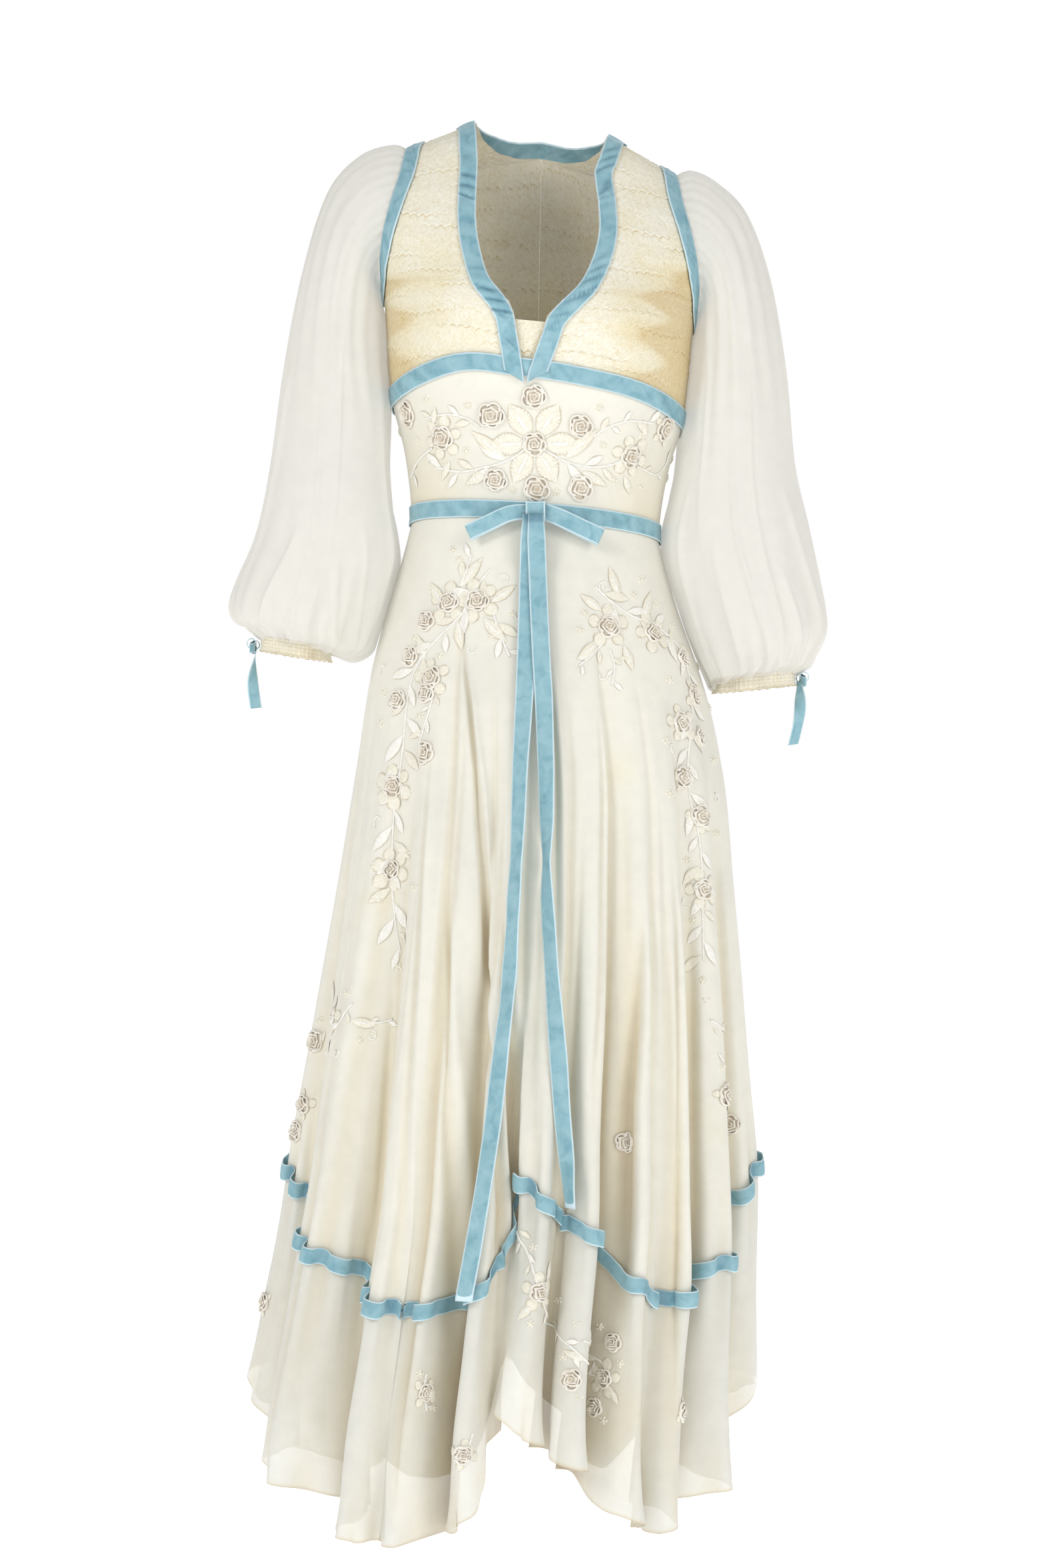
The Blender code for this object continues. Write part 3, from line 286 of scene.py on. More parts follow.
# Long folds of the sleeves: place round the sleeve in degrees (0 outside, 90 front), bend, width,
# depth, and first and last distance up from the cuff
SLEEVE_FOLDS = {
    "left": (
        (62, 0.30, 0.045, 2.6, 0, 150), (84, -0.10, 0.05, 1.8, 30, 260),
        (118, -0.35, 0.045, 2.6, 0, 120), (137, -0.42, 0.05, 2.2, 0, 160),
        (155, -0.2, 0.06, 2.4, 40, 330), (30, 0.2, 0.06, 2.0, 60, 300),
        (100, 0.05, 0.04, 1.6, 120, 400), (-60, 0.3, 0.06, 2.6, 0, 200),
        (-110, -0.3, 0.06, 2.4, 10, 240),
    ),
    "right": (
        (150, -0.35, 0.05, 2.8, 0, 230), (118, -0.10, 0.05, 2.2, 20, 170),
        (95, 0.06, 0.045, 2.4, 0, 260), (78, 0.05, 0.04, 2.0, 40, 330),
        (62, 0.20, 0.05, 2.2, 0, 130), (38, 0.28, 0.06, 2.2, 10, 200),
        (128, 0.1, 0.05, 1.8, 160, 420), (-70, 0.3, 0.06, 2.6, 0, 210),
        (-120, -0.3, 0.06, 2.2, 10, 260),
    ),
}

# Waist bow: where it lies in front, its knot, and its loops' middle line, from knot to tip, and width
BOW_Y = -96.0
KNOT_CENTRE = (-0.2, -97.2, -369.0)
KNOT_SIZE = (18.6, 14.0, 19.4)
LOOPS = (
    ("left", ((-7.0, -368.6), (-25.7, -371.2), (-44.0, -379.3), (-64.2, -388.6)), 15.2),
    ("right", ((7.0, -368.6), (22.4, -374.4), (42.0, -383.6), (61.6, -392.6)), 16.6),
)

# Tails of the waist bow: height, middle, seen width
TAIL_LEFT = np.array((
    (-372, -4.6, 17.6), (-398, -5.9, 17.6), (-460, -7.6, 17.6), (-515, -9.4, 17.6),
    (-550, -11.0, 17.3), (-616, -15.1, 14.8), (-665, -16.8, 13.6), (-704, -18.8, 11.1),
    (-738, -21.1, 13.1), (-762, -22.2, 11.4), (-806, -24.8, 14.5), (-837, -27.6, 12.6),
    (-868, -31.5, 14.3), (-909, -36.0, 16.2), (-951, -40.8, 15.8), (-1013, -50.2, 15.4),
    (-1065, -59.0, 16.4), (-1110, -67.5, 16.2),
))
TAIL_RIGHT = np.array((
    (-372, 0.4, 17.6), (-398, 0.9, 17.6), (-460, 3.2, 17.6), (-515, 5.7, 17.6), (-550, 7.8, 17.4),
    (-616, 9.7, 15.7), (-665, 10.1, 13.6), (-690, 9.9, 9.0), (-704, 9.7, 6.4), (-718, 9.9, 9.0),
    (-738, 10.2, 12), (-762, 11.8, 13.1), (-806, 14.6, 13), (-847, 17.7, 15.7), (-888, 21.1, 17.2),
    (-941, 24.6, 16), (-982, 28.4, 15.1), (-1007, 30.0, 10.5), (-1026, 31.6, 8.6),
))
TAIL_CUT = 17.6
TAIL_BESIDE = 9.75
TAIL_SHADE = -378.5
TAIL_FREE = -425.0
TAIL_FRONT = -92.5
TAIL_CLEAR = 1.8
TAIL_OVER_TAIL = 4.2
TAIL_OVER_HEM = 3.6

# Cuff bows: knot x, knot z, tail end x, tail end z
CUFF_BOWS = ((-271.3, -493.5, -275.0, -556.0), (257.0, -526.5, 254.0, -592.0))
CUFF_TAIL_WIDTH = 12.0
CUFF_KNOT_OUT = 4.0
CUFF_LOOPS = ((-1, 15.0), (1, 13.0))
CUFF_END_TURN = {"left": 20.0, "right": -25.0}

# Lace: rows of scalloped cord, width of a scallop, size of the crackle, height of it all
LACE_ROW = 16.0
LACE_SCALLOP = 9.0
LACE_CELL = 4.3
LACE_HEIGHT = 0.55

# Folded-ribbon roses: height, points and turns of the ribbon, and angle between its folds
ROSE_HEIGHT = 5.0
ROSE_STEPS = 90
ROSE_TURNS = 2.7
ROSE_SIDE = 2 * math.pi / 5
CORD_RADIUS = 0.9
CORD_SINK = 0.25
ROSE_SIZES = (11.2, 9.7, 8.6)
KNOT_RADIUS = 2.2
SMALL_KNOT = 1.5
KNOT_RING = 4.4
KNOT_STEP = 1.2566
SCROLL_TURN = 1.57
SCROLL_SWEEP = 4.6

# Flower at the middle of the midriff: its pixel, first petal's heading, and angle between petals
FLOWER_PIXEL = (802, 666)
FLOWER_TURN = 0.52
FLOWER_STEP = 1.0472

# View by which embroidery is placed where the photo shows its kind: distance, middle, mm a pixel
VIEW_DISTANCE = 3400.0
VIEW_X = -12.5
VIEW_Z = -631.0
PIXEL = 0.66
ORIGIN_ACROSS = 803
ORIGIN_DOWN = 220
SEEN_REACH = 1.62

# Ribbon roses by photo pixel: across, down, petals round it, petal length
MIDRIFF_FLOWERS = (
    (801, 595, 0, 0), (737, 623, 0, 0), (871, 639, 0, 0), (802, 666, 0, 0), (611, 621, 0, 0),
    (664, 657, 6, 12.5), (744, 720, 0, 0), (805, 734, 0, 0), (871, 732, 0, 0), (946, 685, 6, 12.5),
    (998, 644, 5, 9.0),
)
SKIRT_FLOWERS = (
    (674, 904, 5, 14), (717, 901, 5, 14), (640, 932, 0, 0), (616, 985, 0, 0), (647, 1017, 5, 12),
    (597, 1051, 0, 0), (640, 1040, 0, 0), (638, 1129, 0, 0), (590, 1180, 6, 15), (589, 1305, 6, 15),
    (505, 1524, 5, 12), (473, 1562, 0, 0), (456, 1657, 4, 9), (446, 1697, 0, 0), (913, 940, 5, 14),
    (979, 949, 5, 14), (1024, 988, 0, 0), (1040, 1044, 4, 11), (1021, 1085, 5, 12),
    (1049, 1105, 0, 0), (1023, 1166, 0, 0), (1052, 1224, 4, 10), (1055, 1334, 5, 13),
    (1070, 1546, 4, 10), (1089, 1642, 3, 8), (1095, 1686, 0, 0), (941, 1713, 0, 0),
)
TIER_FLOWERS = (
    (810, 1938, 5, 12), (878, 2006, 0, 0), (921, 2013, 0, 0), (907, 2067, 5, 12), (858, 2069, 0, 0),
    (892, 2110, 0, 0), (638, 2088, 4, 9), (1028, 2117, 3, 8), (397, 1953, 3, 7), (694, 2182, 4, 9),
)

# Stems by photo pixel, each with leaf spacing, leaf length and leaf width in millimetres
MIDRIFF_STEMS = (
    (((792, 672), (760, 692), (725, 702), (690, 708), (655, 702)), 15, 24, 8.5),
    (((812, 672), (848, 692), (885, 701), (915, 698), (938, 690)), 15, 24, 8.5),
    (((720, 640), (700, 628), (672, 622), (640, 628)), 12, 16, 6),
    (((890, 655), (915, 640), (948, 632), (980, 636)), 12, 16, 6),
    (((955, 700), (985, 712), (1003, 690)), 12, 14, 5),
    (((650, 672), (628, 692), (618, 716)), 12, 13, 5),
)
SKIRT_STEMS = (
    (((735, 855), (712, 885), (690, 925), (655, 960), (625, 1000), (612, 1050), (606, 1110)),
     15, 28, 10),
    (((606, 1110), (600, 1160), (592, 1215), (589, 1270), (589, 1330), (594, 1385), (602, 1430)),
     15, 27, 9.5),
    (((740, 920), (752, 955), (765, 985)), 13, 22, 8),
    (((690, 880), (700, 855), (708, 832)), 11, 20, 7),
    (((655, 1030), (640, 1080), (628, 1120)), 12, 15, 5.5),
    (((530, 1505), (505, 1540), (490, 1580)), 12, 15, 5.5),
    (((540, 1530), (566, 1534), (590, 1528)), 12, 12, 4.5),
    (((893, 880), (920, 905), (950, 925), (985, 940), (1020, 975), (1036, 1030), (1036, 1085)),
     14, 26, 9.5),
    (((1036, 1085), (1032, 1140), (1034, 1190), (1046, 1240), (1053, 1300), (1054, 1370),
     (1055, 1440)), 14, 25, 9),
    (((905, 965), (885, 985), (868, 1000)), 11, 14, 5),
    (((915, 975), (922, 1000), (918, 1028)), 11, 13, 5),
    (((1066, 1530), (1072, 1560), (1078, 1585)), 11, 12, 4.5),
)
TIER_STEMS = (
    (((776, 1832), (786, 1868), (800, 1905), (810, 1940), (826, 1975), (850, 2015), (885, 2045),
     (905, 2067)), 12, 14, 5),
    (((875, 2010), (890, 2035), (907, 2065)), 12, 11, 4.5),
    (((640, 2060), (636, 2085), (640, 2115)), 11, 11, 4),
    (((709, 2150), (700, 2178), (686, 2206)), 11, 11, 4),
)

# French knots by photo pixel, then small curls: pixel, heading and size
MIDRIFF_KNOTS = (
    (640, 600), (702, 608), (770, 614), (834, 618), (900, 612), (965, 655), (1010, 690),
    (1012, 718), (668, 698), (628, 660), (716, 712), (835, 738), (960, 731), (700, 676), (905, 668),
    (770, 735), (776, 690), (832, 692), (590, 650), (652, 640), (920, 720), (990, 612),
)
SKIRT_KNOTS = (
    (680, 825), (650, 885), (690, 840), (770, 922), (758, 890), (738, 955), (622, 958), (600, 1010),
    (577, 1040), (660, 985), (572, 1085), (612, 1190), (610, 1280), (560, 1300), (620, 1330),
    (570, 1350), (630, 1075), (963, 870), (950, 892), (877, 920), (870, 945), (985, 905),
    (1008, 940), (935, 987), (1060, 1000), (1005, 1020), (1070, 1062), (1000, 1110), (1070, 1140),
    (1005, 1190), (1075, 1250), (1030, 1290), (1040, 1380), (520, 1490), (540, 1560), (560, 1550),
    (480, 1530), (1060, 1500), (1085, 1600), (600, 1450), (1055, 1470),
)
TIER_KNOTS = (
    (800, 1870), (838, 1950), (796, 1985), (865, 1985), (900, 1990), (930, 2045), (870, 2095),
    (905, 2130), (650, 2110), (630, 2060), (845, 2035),
)
SCROLLS = (
    ((748, 866), 0.5, 6.6), ((716, 968), 2.6, 6.9), ((572, 1010), -0.8, 6.0),
    ((564, 1240), -1.2, 6.6), ((570, 1200), 0.4, 5.4), ((900, 885), -0.6, 6.3),
    ((912, 1010), 2.9, 6.3), ((1010, 1130), -1.8, 6.0), ((1030, 1360), -2.2, 6.6),
    ((1072, 1190), 1.4, 5.7), ((560, 1545), 1.8, 6.0), ((510, 1575), 2.8, 6.3),
)

# Large leaves by photo pixel: across, down, heading, length and width in millimetres
MIDRIFF_LEAVES = (
    (760, 690, -0.86, 42, 13), (846, 690, 0.80, 42, 13), (738, 704, -2.05, 31, 10),
    (870, 706, 2.05, 31, 10), (676, 690, -2.6, 22, 8), (936, 712, 2.7, 20, 8),
    (650, 640, 0.35, 19, 7), (968, 660, -0.30, 19, 7),
)
SKIRT_LEAVES = (
    (690, 882, 0.62, 36, 12), (668, 912, -0.70, 33, 12), (735, 905, 0.95, 30, 11),
    (724, 925, 2.40, 34, 12), (688, 930, 3.05, 30, 11), (640, 990, -0.55, 28, 10),
    (905, 918, -0.95, 28, 10), (930, 900, -0.25, 34, 11), (965, 930, 0.55, 34, 12),
    (900, 960, -2.3, 30, 11), (935, 965, 2.9, 28, 10), (1010, 985, 0.25, 30, 10),
    (500, 1505, -0.35, 22, 9), (525, 1530, 1.75, 26, 10), (490, 1545, -2.6, 20, 8),
)
TIER_LEAVES = (
    (820, 1925, 0.35, 22, 8), (800, 1955, -2.4, 20, 8), (880, 2040, -1.2, 22, 8),
    (915, 2080, 2.6, 18, 7),
)

# Finishes of the silks: clean, yellowed and greyed patches
SILK_COLOURS = ((0.82, 0.80, 0.71), (0.82, 0.77, 0.61), (0.78, 0.76, 0.68))
LINING_COLOURS = ((0.78, 0.76, 0.68), (0.78, 0.73, 0.60), (0.74, 0.72, 0.65))
SHEER_COLOURS = ((0.83, 0.81, 0.74), (0.83, 0.79, 0.66), (0.80, 0.78, 0.72))
CUFF_COLOURS = ((0.84, 0.79, 0.65), (0.82, 0.73, 0.52), (0.80, 0.74, 0.60))
TIER_COLOURS = ((0.82, 0.81, 0.74), (0.82, 0.78, 0.65), (0.79, 0.78, 0.71))
SHEER_ALPHA = 0.56
CUFF_ALPHA = 0.93
TIER_ALPHA = 0.86

# Other finishes
# Silk fold colours: painted shade deep in the folds; the warm one also tints the midriff's yellowed
# stain
SHADE_AND_STAIN_WARM = (0.95, 0.90, 0.80)
FOLD_SHADE_DEEP = (0.66, 0.54, 0.38)
# Lace: painted shade in its hollows and under its cords, its own colour, and painted light on its raised
# threads
LACE_SHADE = (0.69, 0.60, 0.42)
LACE_COLOUR = (0.83, 0.80, 0.69)
LACE_LIT = (0.88, 0.87, 0.79)
VELVET_COLOUR = (0.275, 0.475, 0.54)
VELVET_DARK = (0.205, 0.395, 0.465)
VELVET_LIGHT = (0.345, 0.545, 0.605)
VELVET_EDGE = (0.66, 0.81, 0.86)
# Roses: painted shade deep in their folds, their own colour, and painted light along their upper edges
ROSE_SHADE = (0.68, 0.57, 0.44)
ROSE_COLOUR = (0.86, 0.81, 0.71)
ROSE_LIT = (0.92, 0.90, 0.84)
THREAD_WHITE = (0.90, 0.89, 0.84)
THREAD_SHADE = (0.60, 0.52, 0.38)
PETAL_CREAM = (0.85, 0.82, 0.71)
PETAL_SHADE = (0.62, 0.53, 0.38)
WHITE = (1, 1, 1)

# Columns and rows of the grids that the panels are made of
FRONT_GRID = (135, 206)
BACK_GRID = (92, 130)
INSET_GRID = (50, 70)
MIDRIFF_COLUMNS = 200
MIDRIFF_BACK_COLUMNS = 90
MIDRIFF_ROWS = 70
SKIRT_GRID = {"front": (480, 184, 50), "back": (290, 140, 40)}
LINING_GRID = (90, 90)
SLEEVE_COLUMNS = 241
SLEEVE_ROWS = 106
HEM_COLUMNS = 620
STRIP_COLUMNS = 161
TAIL_ROWS = 190
LOOP_ROWS = 26
PLACE_REACH = 1.75
PLACE_GRID = (901, 421)

BOTH = (("left", -1), ("right", 1))
SIDES = (("front", -SKIRT_SIDE, SKIRT_SIDE), ("back", math.pi - SKIRT_SIDE, math.pi + SKIRT_SIDE))


def column(rows, value, at):
    """Reads one column of a table, straight between its rows, at a value of the first column."""
    order = np.argsort(rows[:, 0])
    return np.interp(at, rows[order, 0], rows[order, value])


def curve_through(first, last, leaving, arriving, t):
    """A cubic from first to last, with its slopes at both ends, at a share t of the way."""
    bend = leaving * t * (1 - t) ** 2 - arriving * t ** 2 * (1 - t)
    return first + (last - first) * t * t * (3 - 2 * t) + bend


def smooth_column(rows, value, at):
    """Reads one column of a table along a cubic through its rows, at a value of the first."""
    order = np.argsort(rows[:, 0])
    keys = rows[order, 0]
    values = rows[order, value]
    slopes = np.gradient(values, keys)
    at = np.clip(at, keys[0], keys[-1])
    index = np.clip(np.searchsorted(keys, at, side="right") - 1, 0, len(keys) - 2)
    after = index + 1
    span = keys[after] - keys[index]
    t = (at - keys[index]) / span
    return curve_through(values[index], values[after], slopes[index] * span, slopes[after] * span, t)


def smoothstep(low, high, value):
    t = np.clip((value - low) / (high - low), 0, 1)
    return t * t * (3 - 2 * t)


def blend(low, high, share):
    return low + (high - low) * share


def between(first, last, count):
    return np.linspace(first, last, count)


def unit(vectors):
    return vectors / np.maximum(np.linalg.norm(vectors, axis=-1, keepdims=True), 1e-9)


def steps_of(points, axis=0):
    """Distances from each point to the next."""
    return np.linalg.norm(np.diff(points, axis=axis), axis=-1)


def run_of(points):
    """Distance along a line of points, from its start."""
    return np.append(0, np.cumsum(steps_of(points)))


def pose(x, y, z):
    """Leans and tilts the level torso into the pose, fading out down the skirt."""
    t = np.clip((z + WAIST_DROP) / WAIST_DROP, 0, 1)
    fade = smoothstep(-700, -380, z)
    slope = (TILT_WAIST + (TILT_SHOULDER - TILT_WAIST) * t) * fade
    return np.stack((x + LEAN_SHOULDER * t, y, z - slope * x), axis=-1)


def shoulder_rise(x, z):
    """Height that the shoulder slope adds: the neck side is higher than the arm side."""
    near_top = np.clip((z + SLOPE_REACH) / SLOPE_REACH, 0, 1) ** 2
    return SHOULDER_SLOPE * (SHOULDER_X - np.abs(x)) * near_top


def rounded(angle, power):
    """Unit shares across and forward of a section that is squarer than an ellipse."""
    across = np.sin(angle)
    forward = np.cos(angle)
    size = (np.abs(across) ** power + np.abs(forward) ** power) ** (-1 / power)
    return across * size, forward * size


def torso(phi, z):
    """Point of the bodice surface: phi is 0 in front, pi/2 at +X and pi behind."""
    across, forward = rounded(phi, smooth_column(TORSO, 4, z))
    x = smooth_column(TORSO, 1, z) * across
    depth = np.where(forward > 0, smooth_column(TORSO, 2, z), smooth_column(TORSO, 3, z))
    y = -depth * forward
    away = (np.abs(x) - CUP_ACROSS) ** 2 + (z - CUP_HEIGHT) ** 2
    cup = CUP_FULLNESS * np.exp(-away / CUP_RADIUS ** 2)
    y = y - cup * np.clip(forward * 2, 0, 1)
    return pose(x, y, z + shoulder_rise(x, z))


def body(phi, z):
    """The bodice above the waist seam and the skirt below it, as one surface."""
    below = (z < waist_height(phi))[..., None]
    return np.where(below, skirt(phi, z), torso(phi, z))


def waist_height(phi):
    return -WAIST_DROP - 1 + WAIST_RISE * np.clip(np.cos(phi), 0, 1)


def underbust_height(phi):
    """The seam below the lace, which arches up under the bust and runs level behind."""
    x = smooth_column(TORSO, 1, -250.0) * np.sin(phi)
    near = [column(UNDERBUST, 1, x + step) for step in np.linspace(-18, 18, 9)]
    return np.where(np.cos(phi) > 0, np.mean(near, axis=0), UNDERBUST[0, 1]) + UNDERBUST_RAISE


def differences(surface, u, v, du=STEP_U, dv=STEP_V):
    """How far a surface moves over a small step either way in u, and in v."""
    return surface(u + du, v) - surface(u - du, v), surface(u, v + dv) - surface(u, v - dv)


def normal_of(surface, u, v):
    """Outward unit normal of a surface that runs to +X in front as u grows and down as v falls."""
    return unit(np.cross(*differences(surface, u, v)))


def angle_at(x, z):
    """The torso angle at which the front surface has this x."""
    half = smooth_column(TORSO, 1, z)
    power = smooth_column(TORSO, 4, z)
    across = np.clip(np.abs(x) / half, 0, 1)
    return np.sign(x) * np.arctan2(across, (1 - across ** power) ** (1 / power))


def envelope(angle, z):
    """Half reach across, depth and middle of the skirt's outline at a height."""
    left = smooth_column(SKIRT, 1, z)
    right = smooth_column(SKIRT, 2, z)
    depth = np.where(np.cos(angle) > 0, smooth_column(SKIRT, 3, z), smooth_column(SKIRT, 4, z))
    return (left + right) / 2, depth, (right - left) / 2


def around(degrees):
    """Degrees brought into the range from -180 to 180."""
    return (degrees + 180) % 360 - 180


def flute(angle, z):
    """Inward share of the radius and sideways lean of the folds at an angle and height."""
    degrees = around(np.degrees(angle))
    ridges = np.append(FLUTES[:, 0], FLUTES[0, 0] + 360)
    wrapped = np.where(degrees < ridges[0], degrees + 360, degrees)
    index = np.clip(np.searchsorted(ridges, wrapped, side="right") - 1, 0, len(FLUTES) - 1)
    gap = ridges[index + 1] - ridges[index]
    phase = (wrapped - ridges[index]) / gap
    start = FLUTES[index, 2]
    grown = np.clip((-z - start) / (FLUTE_END - start), 0, 1.1) ** 1.15
    valley = grown * np.sin(np.pi * phase) ** 2
    rounder = 0.55 * grown * np.sin(2 * np.pi * phase) / (2 * np.pi)
    return FLUTES[index, 1] * valley, np.radians((rounder + FLUTES[index, 3] * valley) * gap)


def skirt(angle, z):
    """Point of the fluted skirt: angle is 0 in front and pi/2 at +X."""
    half, depth, middle = envelope(angle, z)
    inward, turn = flute(angle, z)
    across, forward = rounded(angle + turn, 2 + 0.2 * smoothstep(-460, -376, z))
    reach = 1 - inward
    return pose(middle + half * reach * across, -depth * reach * forward, z)


def lining(angle, z):
    """The plain inner skirt, clear of the deepest valleys of the outer one."""
    half, depth, middle = envelope(angle, z)
    hip = smoothstep(-WAIST_DROP, -LINING_FULL_DROP, z)
    reach = 1 - LINING_SHRINK * hip
    inset = LINING_INSET * smoothstep(-WAIST_DROP, -WAIST_DROP - 30, z)
    across, forward = rounded(angle, 2.1)
    x = middle + (half * reach - inset) * across
    return pose(x, -(depth * reach - inset) * forward, z)


def ribbon_height(angle):
    return -column(ZIGZAG, 1, around(np.degrees(angle)))


def hem_height(angle):
    return ribbon_height(angle) - TIER_DEPTH


def over_surface(along_u, along_v, step):
    """The changes of u and v that move a point over its surface by a step."""
    uu = (along_u * along_u).sum(-1)
    uv = (along_u * along_v).sum(-1)
    vv = (along_v * along_v).sum(-1)
    su = (step * along_u).sum(-1)
    sv = (step * along_v).sum(-1)
    area = uu * vv - uv * uv
    return (su * vv - sv * uv) / area, (sv * uu - su * uv) / area


def march(surface, u, v, sideways, distance):
    """Walks over a surface from (u, v) in short steps, in the direction given at each point."""
    count = max(1, math.ceil(abs(distance) / MARCH_STEP))
    stride = distance / count
    for _ in range(count):
        along_u, along_v = differences(surface, u, v)
        along_u = along_u / (2 * STEP_U)
        along_v = along_v / (2 * STEP_V)
        normal = unit(np.cross(along_u, along_v))
        heading = unit(sideways - (sideways * normal).sum(-1, keepdims=True) * normal)
        move_u, move_v = over_surface(along_u, along_v, heading)
        u = u + move_u * stride
        v = v + move_v * stride
    return u, v


def strip_points(surface, path_u, path_v, near, far, lift):
    """A ribbon's points on a surface, from near to far to the left of a path seen from outside."""
    along = unit(np.gradient(surface(path_u, path_v), axis=0))
    sideways = np.cross(normal_of(surface, path_u, path_v), along)
    raised = np.broadcast_to(lift, path_u.shape)[:, None]
    rows = []
    for offset in between(near, far, 3):
        u, v = march(surface, path_u, path_v, sideways, offset)
        rows.append(surface(u, v) + raised * normal_of(surface, u, v))
    return np.stack(rows)


def split(at, points):
    """The whole part of fractional row numbers, and the share of the way to the next row."""
    index = np.clip(at.astype(int), 0, len(points) - 2)
    return index, (at - index).reshape((-1,) + (1,) * (points.ndim - 1))


def smooth_through(points, parts, axis):
    """More rows or columns through the same points, along cubic curves."""
    points = np.moveaxis(points, axis, 0)
    slopes = np.gradient(points, axis=0)
    index, t = split(between(0, len(points) - 1, parts), points)
    after = index + 1
    fine = curve_through(points[index], points[after], slopes[index], slopes[after], t)
    return np.moveaxis(fine, 0, axis)


def even_steps(points, parts, axis):
    """The same surface with its rows or columns spaced evenly by length."""
    points = np.moveaxis(points, axis, 0)
    steps = steps_of(points).reshape(len(points) - 1, -1).mean(axis=1)
    run = np.append(0, np.cumsum(steps))
    index, t = split(np.interp(between(0, run[-1], parts), run, np.arange(len(run))), points)
    return np.moveaxis(points[index] * (1 - t) + points[index + 1] * t, 0, axis)


def grid_normals(points, loop=False):
    """Outward normals of a grid whose rows rise and whose columns run to the right from outside."""
    if loop:
        body_of_ring = points[:, :-1]
        across = np.roll(body_of_ring, -1, axis=1) - np.roll(body_of_ring, 1, axis=1)
        across = np.concatenate((across, across[:, :1]), axis=1)
    else:
        across = np.gradient(points, axis=1)
    return unit(np.cross(across, np.gradient(points, axis=0)))


def metric(points):
    """Lengths over the cloth in millimetres, across from the middle column and up the rows."""
    steps = steps_of(points, 1)
    across = np.concatenate((np.zeros((len(points), 1)), np.cumsum(steps, axis=1)), axis=1)
    across = across - across[:, points.shape[1] // 2][:, None]
    up = np.append(0, np.cumsum(steps_of(points).mean(axis=1)))
    return across, np.broadcast_to(up[:, None], across.shape)


def grid_faces(rows, columns, loop=False):
    """Corner indices of the quads of a grid; a loop joins its last column to its first."""
    index = np.arange(rows * columns).reshape(rows, columns)
    right = np.roll(index, -1, axis=1)
    if not loop:
        index, right = index[:, :-1], right[:, :-1]
    return np.stack((index[:-1], right[:-1], right[1:], index[1:]), axis=-1).reshape(-1, 4)


def mesh_object(name, verts, faces, uv, relief):
    """A smooth mesh object from millimetre points, with a metric UV map and a relief value."""
    mesh = bpy.data.meshes.new(name)
    mesh.from_pydata((verts * MM).tolist(), [], faces.tolist())
    layer = mesh.uv_layers.new(name="cloth")
    corner = np.zeros(len(mesh.loops), dtype=np.int32)
    mesh.loops.foreach_get("vertex_index", corner)
    layer.data.foreach_set("uv", (uv[corner] * MM).astype(np.float32).ravel())
    mesh.shade_smooth()
    made = bpy.data.objects.new(name, mesh)
    bpy.context.scene.collection.objects.link(made)
    store(made, "relief", relief)
    return made


def store(made, name, value):
    """Keeps a number for each point of a piece, which its finish reads."""
    field = made.data.attributes.new(name, "FLOAT", "POINT")
    field.data.foreach_set("value", value.astype(np.float32).ravel())


def grid_object(name, points, across, up, value, faces):
    """A mesh object from a grid of points, its lengths across and up, and its value."""
    uv = np.stack((across, up), axis=-1).reshape(-1, 2)
    return mesh_object(name, points.reshape(-1, 3), faces, uv, value)


def cloth(name, points, slot, nodes, finish=None, loop=False, relief=None, value=None):
    """A panel of cloth that replaces its fixed nodes; relief is how far each point stands out."""
    across, up = metric(points)
    value = np.zeros(points.shape[:2]) if value is None else value
    if relief is not None:
        points = points + grid_normals(points, loop) * relief[..., None]
    if loop:
        points, across, up, value = points[:, :-1], across[:, :-1], up[:, :-1], value[:, :-1]
    made = grid_object(name, points, across, up, value, grid_faces(*points.shape[:2], loop))
    fit_out(made, slot, nodes, finish)
    return made


def fit_out(made, slot, nodes=(), finish=None):
    """Gives a piece its finish, its body and the fixed nodes that it stands for."""
    made.data.materials.append(MATERIALS[finish or slot])
    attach(made, "root")
    if nodes:
        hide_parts(*nodes)


def thicken(made, thick, offset=-1):
    """Gives a ribbon its thickness, inwards from its outer face unless another offset is given."""
    solid = made.modifiers.new("Wall", "SOLIDIFY")
    solid.thickness = thick * MM
    solid.offset = offset
    solid.use_even_offset = False


def velvet(name, points, across, up, edge, nodes, thick, faces=None):
    """A velvet ribbon from a grid of points; edge is 1 where its pale edges run."""
    faces = grid_faces(*points.shape[:2]) if faces is None else faces
    made = grid_object(name, points, across, up, edge, faces)
    thicken(made, thick)
    fit_out(made, "velvet", nodes)
    return made


def ramp(tree, source, *stops):
    """A colour ramp fed by a socket: stops are (place, colour)."""
    made = tree.nodes.new("ShaderNodeValToRGB")
    elements = made.color_ramp.elements
    for step, (place, colour) in zip(elements, (stops[0], stops[-1])):
        step.position = place
        step.color = (*colour, 1)
    for place, colour in stops[1:-1]:
        elements.new(place).color = (*colour, 1)
    tree.links.new(source, made.inputs["Fac"])
    return made.outputs["Color"]


def mix(tree, share, first, second, mode="MIX"):
    """A mixed colour socket: share and second are sockets or constants."""
    made = tree.nodes.new("ShaderNodeMix")
    made.data_type = "RGBA"
    made.blend_type = mode
    if isinstance(share, float):
        made.inputs[0].default_value = share
    else:
        tree.links.new(share, made.inputs[0])
    tree.links.new(first, made.inputs[6])
    if isinstance(second, tuple):
        made.inputs[7].default_value = (*second, 1)
    else:
        tree.links.new(second, made.inputs[7])
    return made.outputs[2]


def product(tree, colour, *others):
    """Colour sockets multiplied together."""
    for other in others:
        colour = mix(tree, 1.0, colour, other, "MULTIPLY")
    return colour


def noise(tree, vector, scale, detail, roughness, distortion=0.0):
    """A noise texture on a vector socket."""
    made = tree.nodes.new("ShaderNodeTexNoise")
    settings = {"Scale": scale, "Detail": detail, "Roughness": roughness, "Distortion": distortion}
    for key, value in settings.items():
        made.inputs[key].default_value = value
    tree.links.new(vector, made.inputs["Vector"])
    return made.outputs["Fac"]


